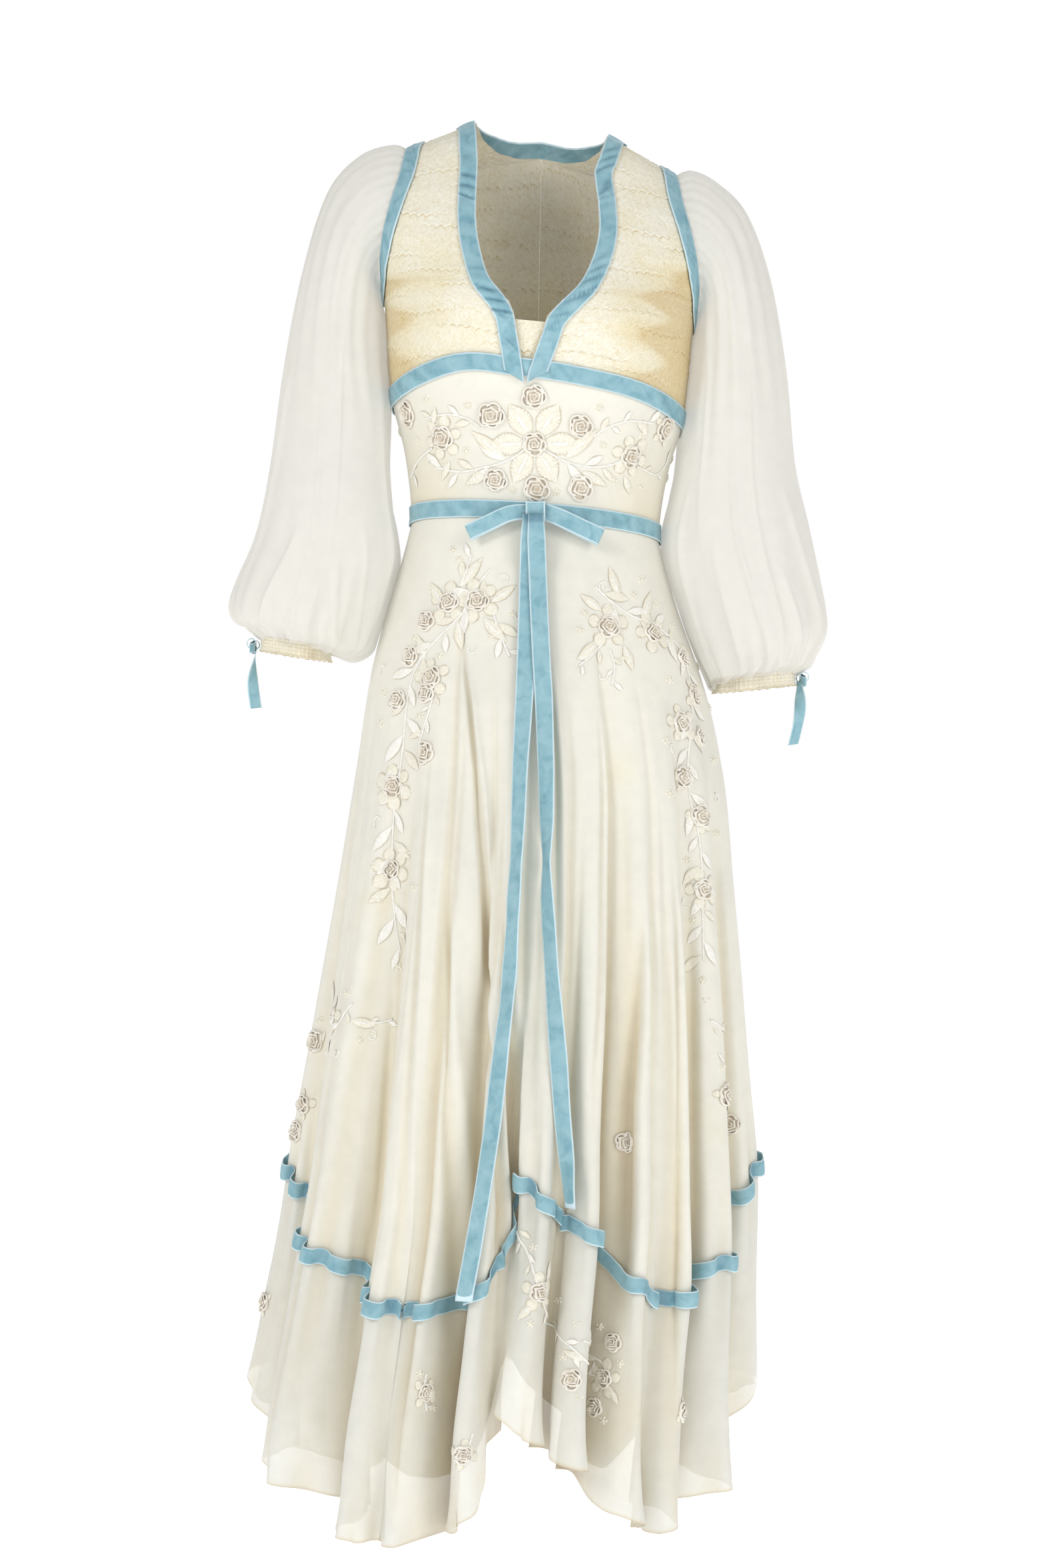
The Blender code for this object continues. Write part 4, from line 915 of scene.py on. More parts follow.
def stored(tree, name):
    """A number that is kept for the points of a piece."""
    made = tree.nodes.new("ShaderNodeAttribute")
    made.attribute_name = name
    return made.outputs["Fac"]


def bump(tree, shader, height, strength, distance):
    """Raises a shader's surface by a height socket."""
    made = tree.nodes.new("ShaderNodeBump")
    made.inputs["Strength"].default_value = strength
    made.inputs["Distance"].default_value = distance
    tree.links.new(height, made.inputs["Height"])
    tree.links.new(made.outputs["Normal"], shader.inputs["Normal"])


def shader_tree(name, roughness, sheen):
    """A new material, its Principled shader and tree, and the cloth's and the world's coordinates."""
    made = bpy.data.materials.new(name)
    made.use_nodes = True
    tree = made.node_tree
    shader = tree.nodes["Principled BSDF"]
    shader.inputs["Roughness"].default_value = roughness
    shader.inputs["Sheen Weight"].default_value = sheen
    shader.inputs["Sheen Roughness"].default_value = 0.45
    shader.inputs["Specular IOR Level"].default_value = 0.25
    place = tree.nodes.new("ShaderNodeTexCoord").outputs
    return made, tree, shader, place["UV"], place["Object"]


def weave_bump(tree, shader, flat, period, strength):
    """Fine warp and weft raised as bump, with slubs that break them up."""
    parts = []
    for direction in ("X", "Y"):
        thread = tree.nodes.new("ShaderNodeTexWave")
        thread.bands_direction = direction
        thread.inputs["Scale"].default_value = 1 / period
        thread.inputs["Distortion"].default_value = 1.5
        thread.inputs["Detail"].default_value = 1.0
        tree.links.new(flat, thread.inputs["Vector"])
        parts.append(thread.outputs["Color"])
    parts.append(noise(tree, flat, 0.25 / period, 3.0, 0.6))
    total = parts[0]
    for part in parts[1:]:
        added = tree.nodes.new("ShaderNodeMath")
        added.operation = "ADD"
        tree.links.new(total, added.inputs[0])
        tree.links.new(part, added.inputs[1])
        total = added.outputs[0]
    bump(tree, shader, total, strength, 0.0002)


def silk_material(name, clean, yellowed, grey, alpha=1.0):
    """Silk chiffon: matt, finely woven, yellowed or grey in patches, with painted shade deep in its
    folds.
    """
    made, tree, shader, flat, place = shader_tree(name, 0.62, 0.25)
    patches = noise(tree, place, 7.0, 4.0, 0.55)
    fine = noise(tree, place, 63.0, 3.0, 0.6)
    broad = ramp(tree, patches, (0.35, grey), (0.5, clean), (0.62, clean), (0.78, yellowed))
    close = ramp(tree, fine, (0.3, (0.95, 0.95, 0.95)), (0.7, WHITE))
    # Painted shade deep in the folds of skirt and tier and in the cuffs' gathers; also the midriff's
    # stain and the darker tier hem and frill rims
    depth = ramp(tree, stored(tree, "relief"), (0.0, WHITE), (0.45, SHADE_AND_STAIN_WARM), (1.0, FOLD_SHADE_DEEP))
    tree.links.new(product(tree, broad, close, depth), shader.inputs["Base Color"])
    shader.inputs["Alpha"].default_value = alpha
    weave_bump(tree, shader, flat, 0.0009, 0.12)
    return made


def lace_material(name):
    """Cream lace over silk: crinkled threads with painted shade in their hollows and painted light on
    top, and yellow age with painted shade along the side seams.
    """
    made, tree, shader, flat, place = shader_tree(name, 0.8, 0.15)
    crinkle = noise(tree, flat, 300.0, 3.0, 0.65, 1.6)
    patches = noise(tree, place, 16.0, 4.0, 0.55)
    # Painted shade in the lace's hollows and under its cords, painted light on its raised threads
    thread = ramp(tree, stored(tree, "relief"), (0.0, LACE_SHADE), (0.3, LACE_COLOUR), (1.0, LACE_LIT))
    # Painted shade in the hollows of the crinkle, which also raises the bump
    crinkle_shade = ramp(tree, crinkle, (0.34, (0.88, 0.83, 0.70)), (0.5, WHITE))
    stain = ramp(tree, patches, (0.35, WHITE), (0.72, (0.98, 0.93, 0.80)))
    age_and_shade = stored(tree, "age_and_shade")
    # Yellow age with painted shade towards the side seams below the sleeves
    seam = ramp(tree, age_and_shade, (0.60, WHITE), (0.90, (0.95, 0.91, 0.80)), (1.0, (0.84, 0.73, 0.54)))
    tree.links.new(product(tree, thread, crinkle_shade, stain, seam), shader.inputs["Base Color"])
    bump(tree, shader, crinkle, 0.7, 0.0007)
    return made


def velvet_material(name):
    """Blue velvet ribbon: pale woven edges, crushed lighter and darker patches in the pile, painted
    shade in its bends and under the knot, painted highlights on the knot's folds.
    """
    made, tree, shader, _, place = shader_tree(name, 0.75, 0.35)
    shader.inputs["Sheen Roughness"].default_value = 0.4
    shader.inputs["Sheen Tint"].default_value = (0.80, 0.93, 1.0, 1)
    crush = noise(tree, place, 70.0, 3.0, 0.55, 0.6)
    pile = ramp(tree, crush, (0.32, VELVET_DARK), (0.5, VELVET_COLOUR), (0.74, VELVET_LIGHT))
    rim = ramp(tree, stored(tree, "relief"), (0.80, (0, 0, 0)), (0.93, WHITE))
    # Painted shade in the ribbons' bends and troughs, and under the knot
    shade_mask = stored(tree, "bend")
    shade = ramp(tree, shade_mask, (0.0, WHITE), (0.5, (0.86, 0.88, 0.90)), (1.0, (0.50, 0.56, 0.62)))
    edged = mix(tree, rim, pile, VELVET_EDGE)
    tree.links.new(product(tree, edged, shade), shader.inputs["Base Color"])
    bump(tree, shader, noise(tree, place, 1400.0, 2.0, 0.6), 0.35, 0.0004)
    return made


def thread_material(name, bright, dull, roughness=0.42):
    """Silk thread laid in satin stitch: glossy, finely striped, darker towards petal edges, where an
    outline is stitched and shade is painted as they turn down.
    """
    made, tree, shader, _, place = shader_tree(name, roughness, 0.3)
    grain = noise(tree, place, 420.0, 3.0, 0.7)
    tone = ramp(tree, stored(tree, "relief"), (0.0, bright), (0.62, bright), (0.95, dull))
    shade = ramp(tree, grain, (0.3, (0.86, 0.84, 0.80)), (0.6, WHITE))
    tree.links.new(product(tree, tone, shade), shader.inputs["Base Color"])
    bump(tree, shader, grain, 0.4, 0.0004)
    return made


def rose_material(name):
    """Folded grey-beige ribbon: painted light along its upper edge and painted shade deep in the folds.
    """
    made, tree, shader, flat, place = shader_tree(name, 0.45, 0.3)
    tone = ramp(tree, stored(tree, "relief"), (0.0, ROSE_SHADE), (0.45, ROSE_COLOUR), (1.0, ROSE_LIT))
    shade = ramp(tree, noise(tree, place, 60.0, 3.0, 0.6), (0.3, (0.90, 0.87, 0.83)), (0.65, WHITE))
    tree.links.new(product(tree, tone, shade), shader.inputs["Base Color"])
    weave_bump(tree, shader, flat, 0.0006, 0.2)
    return made


def paint_shade(made, value):
    """Keeps how deep in a bend or trough of a ribbon each point lies, or how close under the knot, as
    painted shade that darkens its pile.
    """
    store(made, "bend", np.clip(value, 0, 1))


MATERIALS = {
    "silk": silk_material("silk", *SILK_COLOURS),
    "lining": silk_material("lining", *LINING_COLOURS),
    "lace": lace_material("lace"),
    "velvet": velvet_material("velvet"),
    "sheer": silk_material("sheer", *SHEER_COLOURS, SHEER_ALPHA),
    "rose": rose_material("rose"),
    "thread": thread_material("thread", THREAD_WHITE, THREAD_SHADE),
    "petal": thread_material("petal", PETAL_CREAM, PETAL_SHADE, 0.6),
    "cuff": silk_material("cuff", *CUFF_COLOURS, CUFF_ALPHA),
    "tier": silk_material("tier", *TIER_COLOURS, TIER_ALPHA),
}


def side_angle(side, z):
    """The angle of a bodice panel's outer edge: the armhole, or the side seam below it."""
    if z < -UNDERARM_DROP:
        return side * SIDE_FRONT
    return angle_at(side * smooth_column(ARMHOLE, 1, z), z)


def panel_grid(rows, rows_wanted, rightward):
    """A bodice panel from its rows, with its top on the shoulder seam and its columns to the right."""
    points = np.stack(rows)
    points[-1, :, 1] = 0.0
    return even_steps(points if rightward else points[:, ::-1], rows_wanted, 0)


def front_panel(side, columns, rows):
    """A lace front from the underbust seam to the shoulder, its columns running to +X."""
    share = between(0, 1, columns)
    edge = 1 if side < 0 else 2
    angles = [blend(angle_at(smooth_column(NECK_FRONT, edge, z), z), side_angle(side, z), share)
              for z in FRONT_LEVELS]
    foot = blend(angle_at(NECK_FRONT[0, edge], -250.0), side * SIDE_FRONT, share)
    seam = underbust_height(foot) + SEAM_TUCK
    table = [torso(blend(foot, angles[0], t), blend(seam, FRONT_LEVELS[0], t))
             for t in (0.0, 0.25, 0.5, 0.75)]
    table += [torso(phi, np.full_like(share, z)) for phi, z in zip(angles, FRONT_LEVELS)]
    return panel_grid(table, rows, side > 0)


def back_panel(side, columns, rows):
    """A lace back from the centre-back closure to the side seam, its columns running to the right."""
    share = between(0, 1, columns)
    phi = side * (math.pi - blend(BACK_GAP, SIDE_FRONT, share))
    table = [torso(phi, underbust_height(phi) + SEAM_TUCK)]
    for z in BACK_LEVELS:
        neck = angle_at(side * column(NECK_BACK, 1, z), z)
        phi = side * math.pi - blend(neck, side_angle(side, z), share)
        table.append(torso(phi, np.full_like(share, z)))
    return panel_grid(table, rows, side < 0)


def to_shoulder(strip, ends):
    """A ribbon's strip whose ends run on to the shoulder seam, so that front and back meet."""
    strip = strip.copy()
    for end in ends:
        step = strip[:, end] - strip[:, 1 if end == 0 else -2]
        forward = np.where(np.abs(step[:, 1]) < 0.5, 0.5, step[:, 1])
        share = np.clip(-strip[:, end, 1] / forward, -1.2, 1.2)
        strip[:, end] += share[:, None] * step
    return strip


def torso_band(first, last, columns, rows):
    """The midriff between the underbust and waist seams, its columns running to the right."""
    phi = between(first, last, columns)
    low = waist_height(phi) + SEAM / 2
    high = underbust_height(phi) - SEAM_TUCK
    return np.stack([torso(phi, blend(low, high, t)) for t in between(0, 1, rows)])


def draped_panel(angle, low, high, rows):
    """Cloth of the skirt between two heights at each angle: points, angles and heights."""
    height = np.stack([blend(low, high, t) for t in between(0, 1, rows)])
    angle = np.broadcast_to(angle, height.shape)
    return draped(angle, height), angle, height


def lining_panel(first, last, columns, rows):
    """The plain inner skirt, down to a level above the tier's hem."""
    angle = between(first + LINING_SEAM, last - LINING_SEAM, columns)
    low = hem_height(angle) + LINING_SHORT
    high = np.full_like(angle, -WAIST_DROP - LINING_START)
    return np.stack([lining(angle, blend(low, high, t)) for t in between(0, 1, rows)])


def armhole_ring(side, columns, out=0.0):
    """The armhole edge as a ring: top of the shoulder, front, underarm, back, top again."""
    turn = between(0, 2 * math.pi, columns)
    z = -UNDERARM_DROP / 2 * (1 - np.cos(turn))
    front = angle_at(side * column(ARMHOLE, 1, z), z)
    phi = np.where(turn <= math.pi, front, side * math.pi - front)
    ring = torso(phi, z)
    under = ((1 - np.cos(turn)) / 2) ** 3
    ring[:, 0] += side * out * (1 + UNDERARM_CLEAR * under)
    return ring, phi, z


def oval(row, turn, drop=0.0):
    """The ring of a sleeve table's row and its middle, moved down by drop."""
    outer_x, outer_z, inner_x, inner_z, depth = row
    middle = np.array(((outer_x + inner_x) / 2, 0, (outer_z + inner_z) / 2 - drop))
    half = np.array(((outer_x - inner_x) / 2, 0, (outer_z - inner_z) / 2))
    ring = middle + np.cos(turn)[:, None] * half
    ring[:, 1] -= depth * np.sin(turn)
    return ring, middle


def sleeve_rings(side, table, columns, count):
    """Smooth rings of the bishop sleeve, from the armhole to the cuff."""
    head, _, _ = armhole_ring(side, columns, SLEEVE_GAP)
    turn = between(0, 2 * math.pi, columns)
    rings = [head]
    for index, row in enumerate(table, 1):
        ring, _ = oval(row, turn)
        share = 1 - min(1.0, index / HEAD_BLEND)
        rings.append(blend(ring, head + side * index * np.array((HEAD_STEP, 0, 0)), share * HEAD_SHARE))
    points = even_steps(smooth_through(np.stack(rings), len(rings) * 12, 0), count, 0)
    points[:, -1] = points[:, 0]
    return points


def outward_ring(points, side):
    """A tube's rings with their columns running to the right seen from outside, rows rising."""
    points = points[::-1]
    return points if side < 0 else points[:, ::-1]


def ribbon_strip(name, points, nodes, pucker=0.35, seed=0.0, mitre=None, creases=()):
    """A velvet ribbon through a strip of points: crowned, puckered, pale along its edges and with
    painted shade in its hollows.
    """
    along = max(8, int(steps_of(points[len(points) // 2]).sum() / RIBBON_STEP))
    fine = even_steps(smooth_through(points, 3 * along, 1), along, 1)
    fine = smooth_through(fine, RIBBON_ACROSS, 0)
    if mitre:
        fine = trimmed(fine, between(*mitre, RIBBON_ACROSS))
    share = between(-1, 1, RIBBON_ACROSS)[:, None]
    run, _ = metric(fine)
    run = run - run[:, :1]
    crown = RIBBON_CROWN * (1 - share ** 2)
    wave = np.sin(run / 3.1 + 2.0 * np.sin(run / 11.0 + seed) + 1.3 * share + seed)
    swell = np.sin(run / 23.0 + seed * 2.3) * 0.5 + 0.5
    relief = crown + pucker * wave * swell * (1 - share ** 2) ** 0.5
    for place, skew, height in creases:
        off = run - place - skew * 6 * share
        relief = relief + height * (np.exp(-(off / 1.5) ** 2) - 0.5 * np.exp(-((off - 3.4) / 2.2) ** 2))
    points = fine + grid_normals(fine) * (relief + VELVET_THICK)[..., None]
    edge = np.broadcast_to(np.abs(share), run.shape)
    up = np.broadcast_to(share * RIBBON_WIDTH / 2, run.shape)
    made = velvet(name, points, run, up, edge, nodes, VELVET_THICK)
    # Painted shade in the hollows of the puckers and creases, and a little over the whole ribbon
    paint_shade(made, 0.25 + 0.9 * (crown - relief))


def trimmed(points, lengths):
    """Cuts a length from the start of each row of a strip, for a mitred end."""
    made = points.copy()
    for row, old, cut in zip(made, points, lengths):
        run = run_of(old)
        at = run + cut * np.clip(1 - run / MITRE_REACH, 0, 1)
        for axis in range(3):
            row[:, axis] = np.interp(at, run, old[:, axis])
    return made


def pipes(angle):
    """The small round pleats that stand along the hem ribbon, from -1 to 1."""
    waves = np.tanh(1.8 * np.sin(PIPES * angle + 2.0 * np.sin(5 * angle) + 1.1 * np.sin(13 * angle)))
    return waves * (0.78 + 0.22 * np.sin(9 * angle + 1.0))


def fold_relief(angle, z):
    """How far the lesser folds move the cloth out of the fluted skirt, in millimetres."""
    degrees = np.degrees(angle)
    drop = -z
    grown = smoothstep(430, 1280, drop)
    relief = np.zeros(np.broadcast(angle, z).shape)
    for count, height, turn in RIPPLES:
        sway = turn * drop / 1000 + 1.7 * np.sin(3 * angle + count)
        swell = 0.62 + 0.38 * np.sin(5 * angle + count + drop / 300)
        relief += height * grown * swell * np.sin(count * angle + sway)
    for middle, first, last, width, depth, drift in CREASES:
        share = (drop - first) / (last - first)
        fade = np.clip(share * 2.2, 0, 1) * np.clip((1.06 - share) * 6, 0, 1)
        wider = width * (0.75 + 0.5 * np.clip(share, 0, 1))
        off = around(degrees - (middle + drift * share)) / wider
        relief -= depth * fade * (2 - fade) * np.exp(-off ** 2)
    for depth, width, path in LAPS:
        path = np.array(path)
        first, last = path[0, 1], path[-1, 1]
        fade = smoothstep(first, first + 130, drop) * (1 - smoothstep(last - 40, last + 90, drop))
        off = around(degrees - np.interp(drop, path[:, 1], path[:, 0])) / width
        relief -= depth * fade * (np.exp(-off ** 2) - 0.55 * np.exp(-((off - 1.7) / 1.1) ** 2))
    at_ribbon = np.exp(-((z - ribbon_height(angle)) / PIPE_REACH) ** 2)
    relief += PIPE_DEPTH * at_ribbon * pipes(angle)
    edge = (1 - np.clip((z - hem_height(angle)) / HEM_WAVE_REACH, 0, 1)) ** 2
    relief += HEM_WAVE * edge * np.sin(41 * angle + 2.2 * np.sin(7 * angle))
    relief += HEM_WAVE * 0.5 * edge ** 2 * np.sin(83 * angle + 2.0 * np.sin(11 * angle))
    return relief


def draped(angle, z):
    """Point of the skirt or tier with its lesser folds."""
    return skirt(angle, z) + normal_of(skirt, angle, z) * fold_relief(angle, z)[..., None]


def fold_depth(angle, z):
    """From 0 on the ridges of the skirt to 1 in its deepest valleys, where shade is painted into the
    silk.
    """
    inward, _ = flute(angle, z)
    deep = np.clip(inward / 0.30, 0, 1) ** 1.6
    lesser = np.clip(-fold_relief(angle, z) / 10.5, 0, 1)
    return np.clip(0.75 * deep + 0.60 * lesser, 0, 1)


def stepped(surface, u, v, across, up):
    """The place on a surface some millimetres to the right of and above another place."""
    u, v = np.array(float(u)), np.array(float(v))
    along_u, along_v = differences(surface, u, v, PLACE_U, PLACE_V)
    along_u = along_u / (2 * PLACE_U)
    along_v = along_v / (2 * PLACE_V)
    normal = unit(np.cross(along_u, along_v))
    right = unit(np.cross((0.0, 0.0, 1.0), normal))
    rise = np.cross(normal, right)
    step = np.asarray(across)[..., None] * right + np.asarray(up)[..., None] * rise
    move_u, move_v = over_surface(along_u, along_v, step)
    return u + move_u, v + move_v


def laid_on(surface, u, v, across, up, height):
    """Local flat millimetres (across, up, height) laid on a surface round a place."""
    u, v = stepped(surface, u, v, across, up)
    return surface(u, v) + normal_of(surface, u, v) * height[..., None]


class Pile:
    """Collects many small grids and joins them into one mesh piece."""

    def __init__(self):
        self.points = []
        self.faces = []
        self.values = []
        self.count = 0

    def add(self, points, value=None):
        rows, columns = points.shape[:2]
        self.points.append(points.reshape(-1, 3))
        self.faces.append(grid_faces(rows, columns) + self.count)
        self.values.append(np.zeros(rows * columns) if value is None else np.ravel(value))
        self.count += rows * columns

    def piece(self, name, slot, nodes=(), finish=None):
        points = np.concatenate(self.points)
        values = np.concatenate(self.values)
        made = mesh_object(name, points, np.concatenate(self.faces), points[:, (0, 2)], values)
        fit_out(made, slot, nodes, finish)
        return made


def rose(pile, surface, u, v, radius, turn):
    """A folded-ribbon rose: one ribbon on edge, wound in from the rim with a corner at each fold."""
    along = between(0, 1, ROSE_STEPS)
    angle = along * ROSE_TURNS * 2 * math.pi
    phase = (angle + 0.35 * np.sin(angle * 0.9 + turn)) % ROSE_SIDE - ROSE_SIDE / 2
    corner = math.cos(ROSE_SIDE / 2) / np.cos(phase)
    fold = (np.abs(phase) / (ROSE_SIDE / 2)) ** 3
    angle = angle + turn
    base = radius * (1 - 0.86 * along ** 0.85) * (0.30 + 0.70 * corner)
    lift = ROSE_HEIGHT * (0.50 + 0.50 * np.sin(along * math.pi / 2)) + 0.9 * np.sin(3.1 * angle + turn)
    flare = (2.6 - 1.5 * along) * (0.55 + 0.75 * fold)
    # Across the ribbon: out, height and painted shade, from shade at its foot between windings to
    # painted light on its upper edge
    profile = ((-1.0, 0.0, 0.0), (-0.7, 0.55, 0.15), (0.0, 0.95, 0.6), (0.55, 1.00, 1.0),
               (0.9, 0.80, 0.8))
    rows = []
    shades = []
    for out, high, shade in profile:
        reach = np.maximum(base - 0.8 + flare * out, 0.15)
        x, y = reach * np.sin(angle), reach * np.cos(angle)
        rows.append(laid_on(surface, u, v, x, y, 0.3 + lift * high))
        # A little more painted shade at each fold's corner
        shades.append(shade * (0.82 + 0.18 * (1 - fold)))
    pile.add(np.stack(rows), np.stack(shades))
    rings = between(0, 1, 4)
    ring_turn = between(0, 2 * math.pi, 17)
    reach = np.outer(rings, np.full(17, radius * 0.85))
    dome = np.outer(1 - rings ** 2, np.ones(17)) * ROSE_HEIGHT * 0.6 + 0.2
    x, y = reach * np.sin(ring_turn), reach * np.cos(ring_turn)
    # Painted shade on the low dome at the rose's foot
    pile.add(laid_on(surface, u, v, x, y, dome), np.full((4, 17), 0.25))
    for index in range(5):
        heading = turn + 0.4 + index * ROSE_SIDE
        sweep = heading + between(-1.5, 1.5, 10)
        centre = radius * 0.50
        bulge = radius * (0.56 + 0.05 * math.sin(index * 2.7 + turn))
        rows = []
        for out, high in ((-1.6, 0.2), (-0.9, 2.6), (0.0, 3.3), (0.9, 2.2), (0.5, 0.2)):
            reach = np.maximum(bulge + out, 0.5)
            x = centre * math.sin(heading) + reach * np.sin(sweep)
            y = centre * math.cos(heading) + reach * np.cos(sweep)
            rows.append(laid_on(surface, u, v, x, y, np.full(10, high)))
        # Painted shade low on each lobe and painted light on its top
        shades = np.array((0.15, 0.55, 1.0, 0.7, 0.3))[:, None] * np.ones(10)
        pile.add(np.stack(rows), shades)


def petal(pile, surface, u, v, heading, near, length, width, rise, tip, blunt=1.0):
    """A padded petal or leaf: near and length out from a place, at a heading clockwise from up."""
    along = between(0, 1, 9)[:, None]
    side = between(-1, 1, 7)[None, :]
    reach = near + length * along
    half = width / 2 * np.sin(math.pi * np.clip(along, 0.02, 0.985) ** tip) ** blunt
    arch = np.sin(math.pi * along)
    bow = arch * np.sqrt(np.clip(1 - side ** 2, 0, 1))
    groove = 0.35 * np.exp(-(side / 0.16) ** 2) * arch
    rim = 0.45 * np.abs(side) ** 6 * arch
    height = 0.25 + rise * bow - groove + rim
    x = reach * math.sin(heading) + half * side * math.cos(heading)
    y = reach * math.cos(heading) - half * side * math.sin(heading)
    # Darker towards the edges: a stitched outline and painted shade where the petal turns down
    value = np.broadcast_to(np.abs(side), x.shape) * (0.75 + 0.25 * along)
    pile.add(laid_on(surface, u, v, x, y, np.broadcast_to(height, x.shape)), value)


def flower(pile, surface, u, v, count, near, length, width, turn):
    """Petals in a ring round a rose."""
    for index in range(count):
        heading = turn + index * 2 * math.pi / count
        scale = 1 + 0.09 * math.sin(index * 2.3 + turn * 5)
        petal(pile, surface, u, v, heading, near, length * scale, width * scale, 1.2, 1.25, 0.5)


def stem(pile, surface, places, thick, beads):
    """A couched cord through places on a surface, rounded on top."""
    places = np.array(places, dtype=float)
    fine = smooth_through(places[:, None, :], max(12, len(places) * 9), 0)[:, 0]
    centre = surface(fine[:, 0], fine[:, 1])
    normal = normal_of(surface, fine[:, 0], fine[:, 1])
    side = np.cross(normal, unit(np.gradient(centre, axis=0)))
    swell = thick * (1 + beads * np.sin(run_of(centre) * 2.2))
    rows = []
    for turn in between(0.5, -0.5, 5) * math.pi:
        across = (swell * math.sin(turn))[:, None]
        rise = (CORD_SINK + swell * math.cos(turn))[:, None]
        rows.append(centre + side * across + normal * rise)
    pile.add(np.stack(rows))


def knot_dot(pile, surface, u, v, radius):
    """A French knot: a low round bead of thread."""
    rings = between(0, math.pi / 2, 4)[:, None]
    turn = between(0, 2 * math.pi, 9)[None, :]
    reach = radius * np.cos(rings)
    height = np.broadcast_to(radius * 0.8 * np.sin(rings), (4, 9))
    pile.add(laid_on(surface, u, v, reach * np.sin(turn), reach * np.cos(turn), height))


def ribbon_mesh(name, points, nodes, thick, edge=None, loop=False):
    """A velvet ribbon through a fine grid whose columns cross it, pale along both edges."""
    rows, columns = points.shape[:2]
    if edge is None:
        edge = np.broadcast_to(np.abs(between(-1, 1, columns)), (rows, columns))
    faces = grid_faces(rows, columns)
    if loop:
        first = np.arange(columns)
        last = (rows - 1) * columns + first
        closing = np.stack((last[:-1], last[1:], first[1:], first[:-1]), axis=-1)
        faces = np.concatenate((faces, closing))
    made = velvet(name, points, *metric(points), edge, nodes, thick, faces)
    return made


def front_of_skirt(x, z):
    """The foremost reach of the folds near x, on which a hanging ribbon lies."""
    angle = np.radians(between(-60, 60, 481))
    points = draped(angle, np.full_like(angle, z))
    near = np.abs(points[:, 0] - x) < TAIL_BESIDE
    return points[near, 1].min()


def softened(values, reach):
    """A row of numbers with its steps blurred over a number of neighbours."""
    kernel = np.hanning(2 * reach + 1)
    return np.convolve(np.pad(values, reach, "edge"), kernel / kernel.sum(), "valid")


def tail(label, table, over):
    """A ribbon end that hangs from the knot, turning edge-on where it looks narrow."""
    top = table[0, 0]
    heights = between(table[-1, 0], top, TAIL_ROWS)
    middle = softened(column(table, 1, heights), 4)
    seen = softened(column(table, 2, heights), 4)
    coarse = between(heights[0], heights[-1], 40)
    reach = np.array([front_of_skirt(np.interp(z, heights, middle), z) for z in coarse])
    reach = np.minimum(np.minimum(np.roll(reach, 1), np.roll(reach, -1)), reach)
    y = softened(np.interp(heights, coarse, reach), 8)
    y = np.where(heights > TAIL_FREE, np.interp(TAIL_FREE, heights, y), y)
    turn = np.arccos(np.clip(seen / TAIL_CUT, 0.3, 1))
    gathered = TAIL_CUT * (0.86 + 0.14 * smoothstep(0, 26, top - heights))
    y = np.minimum(y - TAIL_CLEAR, TAIL_FRONT) - gathered / 2 * np.sin(turn)
    y = y - over * (1 - smoothstep(230, 330, top - heights))
    y = y - TAIL_OVER_HEM * smoothstep(-950, -1000, heights)
    share = between(-1, 1, 9)
    wave = 0.35 * np.sin(heights / 9.0 + middle)[:, None] * share ** 2
    x = middle[:, None] + share * (gathered / 2 * np.cos(turn))[:, None]
    depth = y[:, None] - share * (gathered / 2 * np.sin(turn))[:, None] + wave - 0.7 * (1 - share ** 2)
    points = np.stack((x, depth, np.broadcast_to(heights[:, None], x.shape)), axis=-1)
    edge = np.broadcast_to(np.abs(share), x.shape).copy()
    edge[:2] = 1.0
    nodes = (f"tail_{label}",)
    made = ribbon_mesh(f"velvet_tail_{label}", points, nodes, VELVET_THICK, edge)
    # Painted shadow under the knot, at the top of the tail
    paint_shade(made, np.broadcast_to(np.exp(-(TAIL_SHADE - heights) / 4.5)[:, None], x.shape))


def bow_loop(label, places, width):
    """A flat folded loop: out along the front layer, round the tip and back behind."""
    count = LOOP_ROWS
    out = smooth_through(np.array(places)[:, None, :], count, 0)[:, 0]
    arch = np.sin(between(0, math.pi, count))
    front = np.stack((out[:, 0], BOW_Y - 2.0 - 2.2 * arch, out[:, 1]), axis=-1)
    back = front[::-1].copy()
    back[:, 1] += 2.4 + 1.4 * arch
    back[:, 2] -= 1.3 * between(1, 0, count)
    tip = (front[-1] + back[0]) / 2 + unit(front[-1] - front[-2]) * 1.0
    path = np.concatenate((front, tip[None], back))
    heading = unit(np.gradient(out, axis=0))
    side = np.stack((-heading[:, 1], np.zeros(count), heading[:, 0]), axis=-1) * np.sign(heading[:, :1])
    side = np.concatenate((side, side[-1:], side[::-1]))
    gather = np.exp(-(np.abs(path[:, 0]) - 7) / 9.0)
    half = width / 2 * (1 - 0.10 * gather)
    share = between(-1, 1, 13)
    layer = np.where(np.arange(len(path)) < count, 1, 0.4)[:, None]
    pleat = 1.3 * gather[:, None] * np.cos(2.5 * math.pi * share) * layer
    points = path[:, None] + side[:, None] * (half[:, None] * share)[..., None]
    points[..., 1] -= pleat + 0.25 * (1 - share ** 2)
    points = points[:, ::-1][::-1] if label == "left" else points
    nodes = (f"bow_loop_{label}",)
    ribbon_mesh(f"velvet_loop_{label}", points, nodes, BOW_THICK)


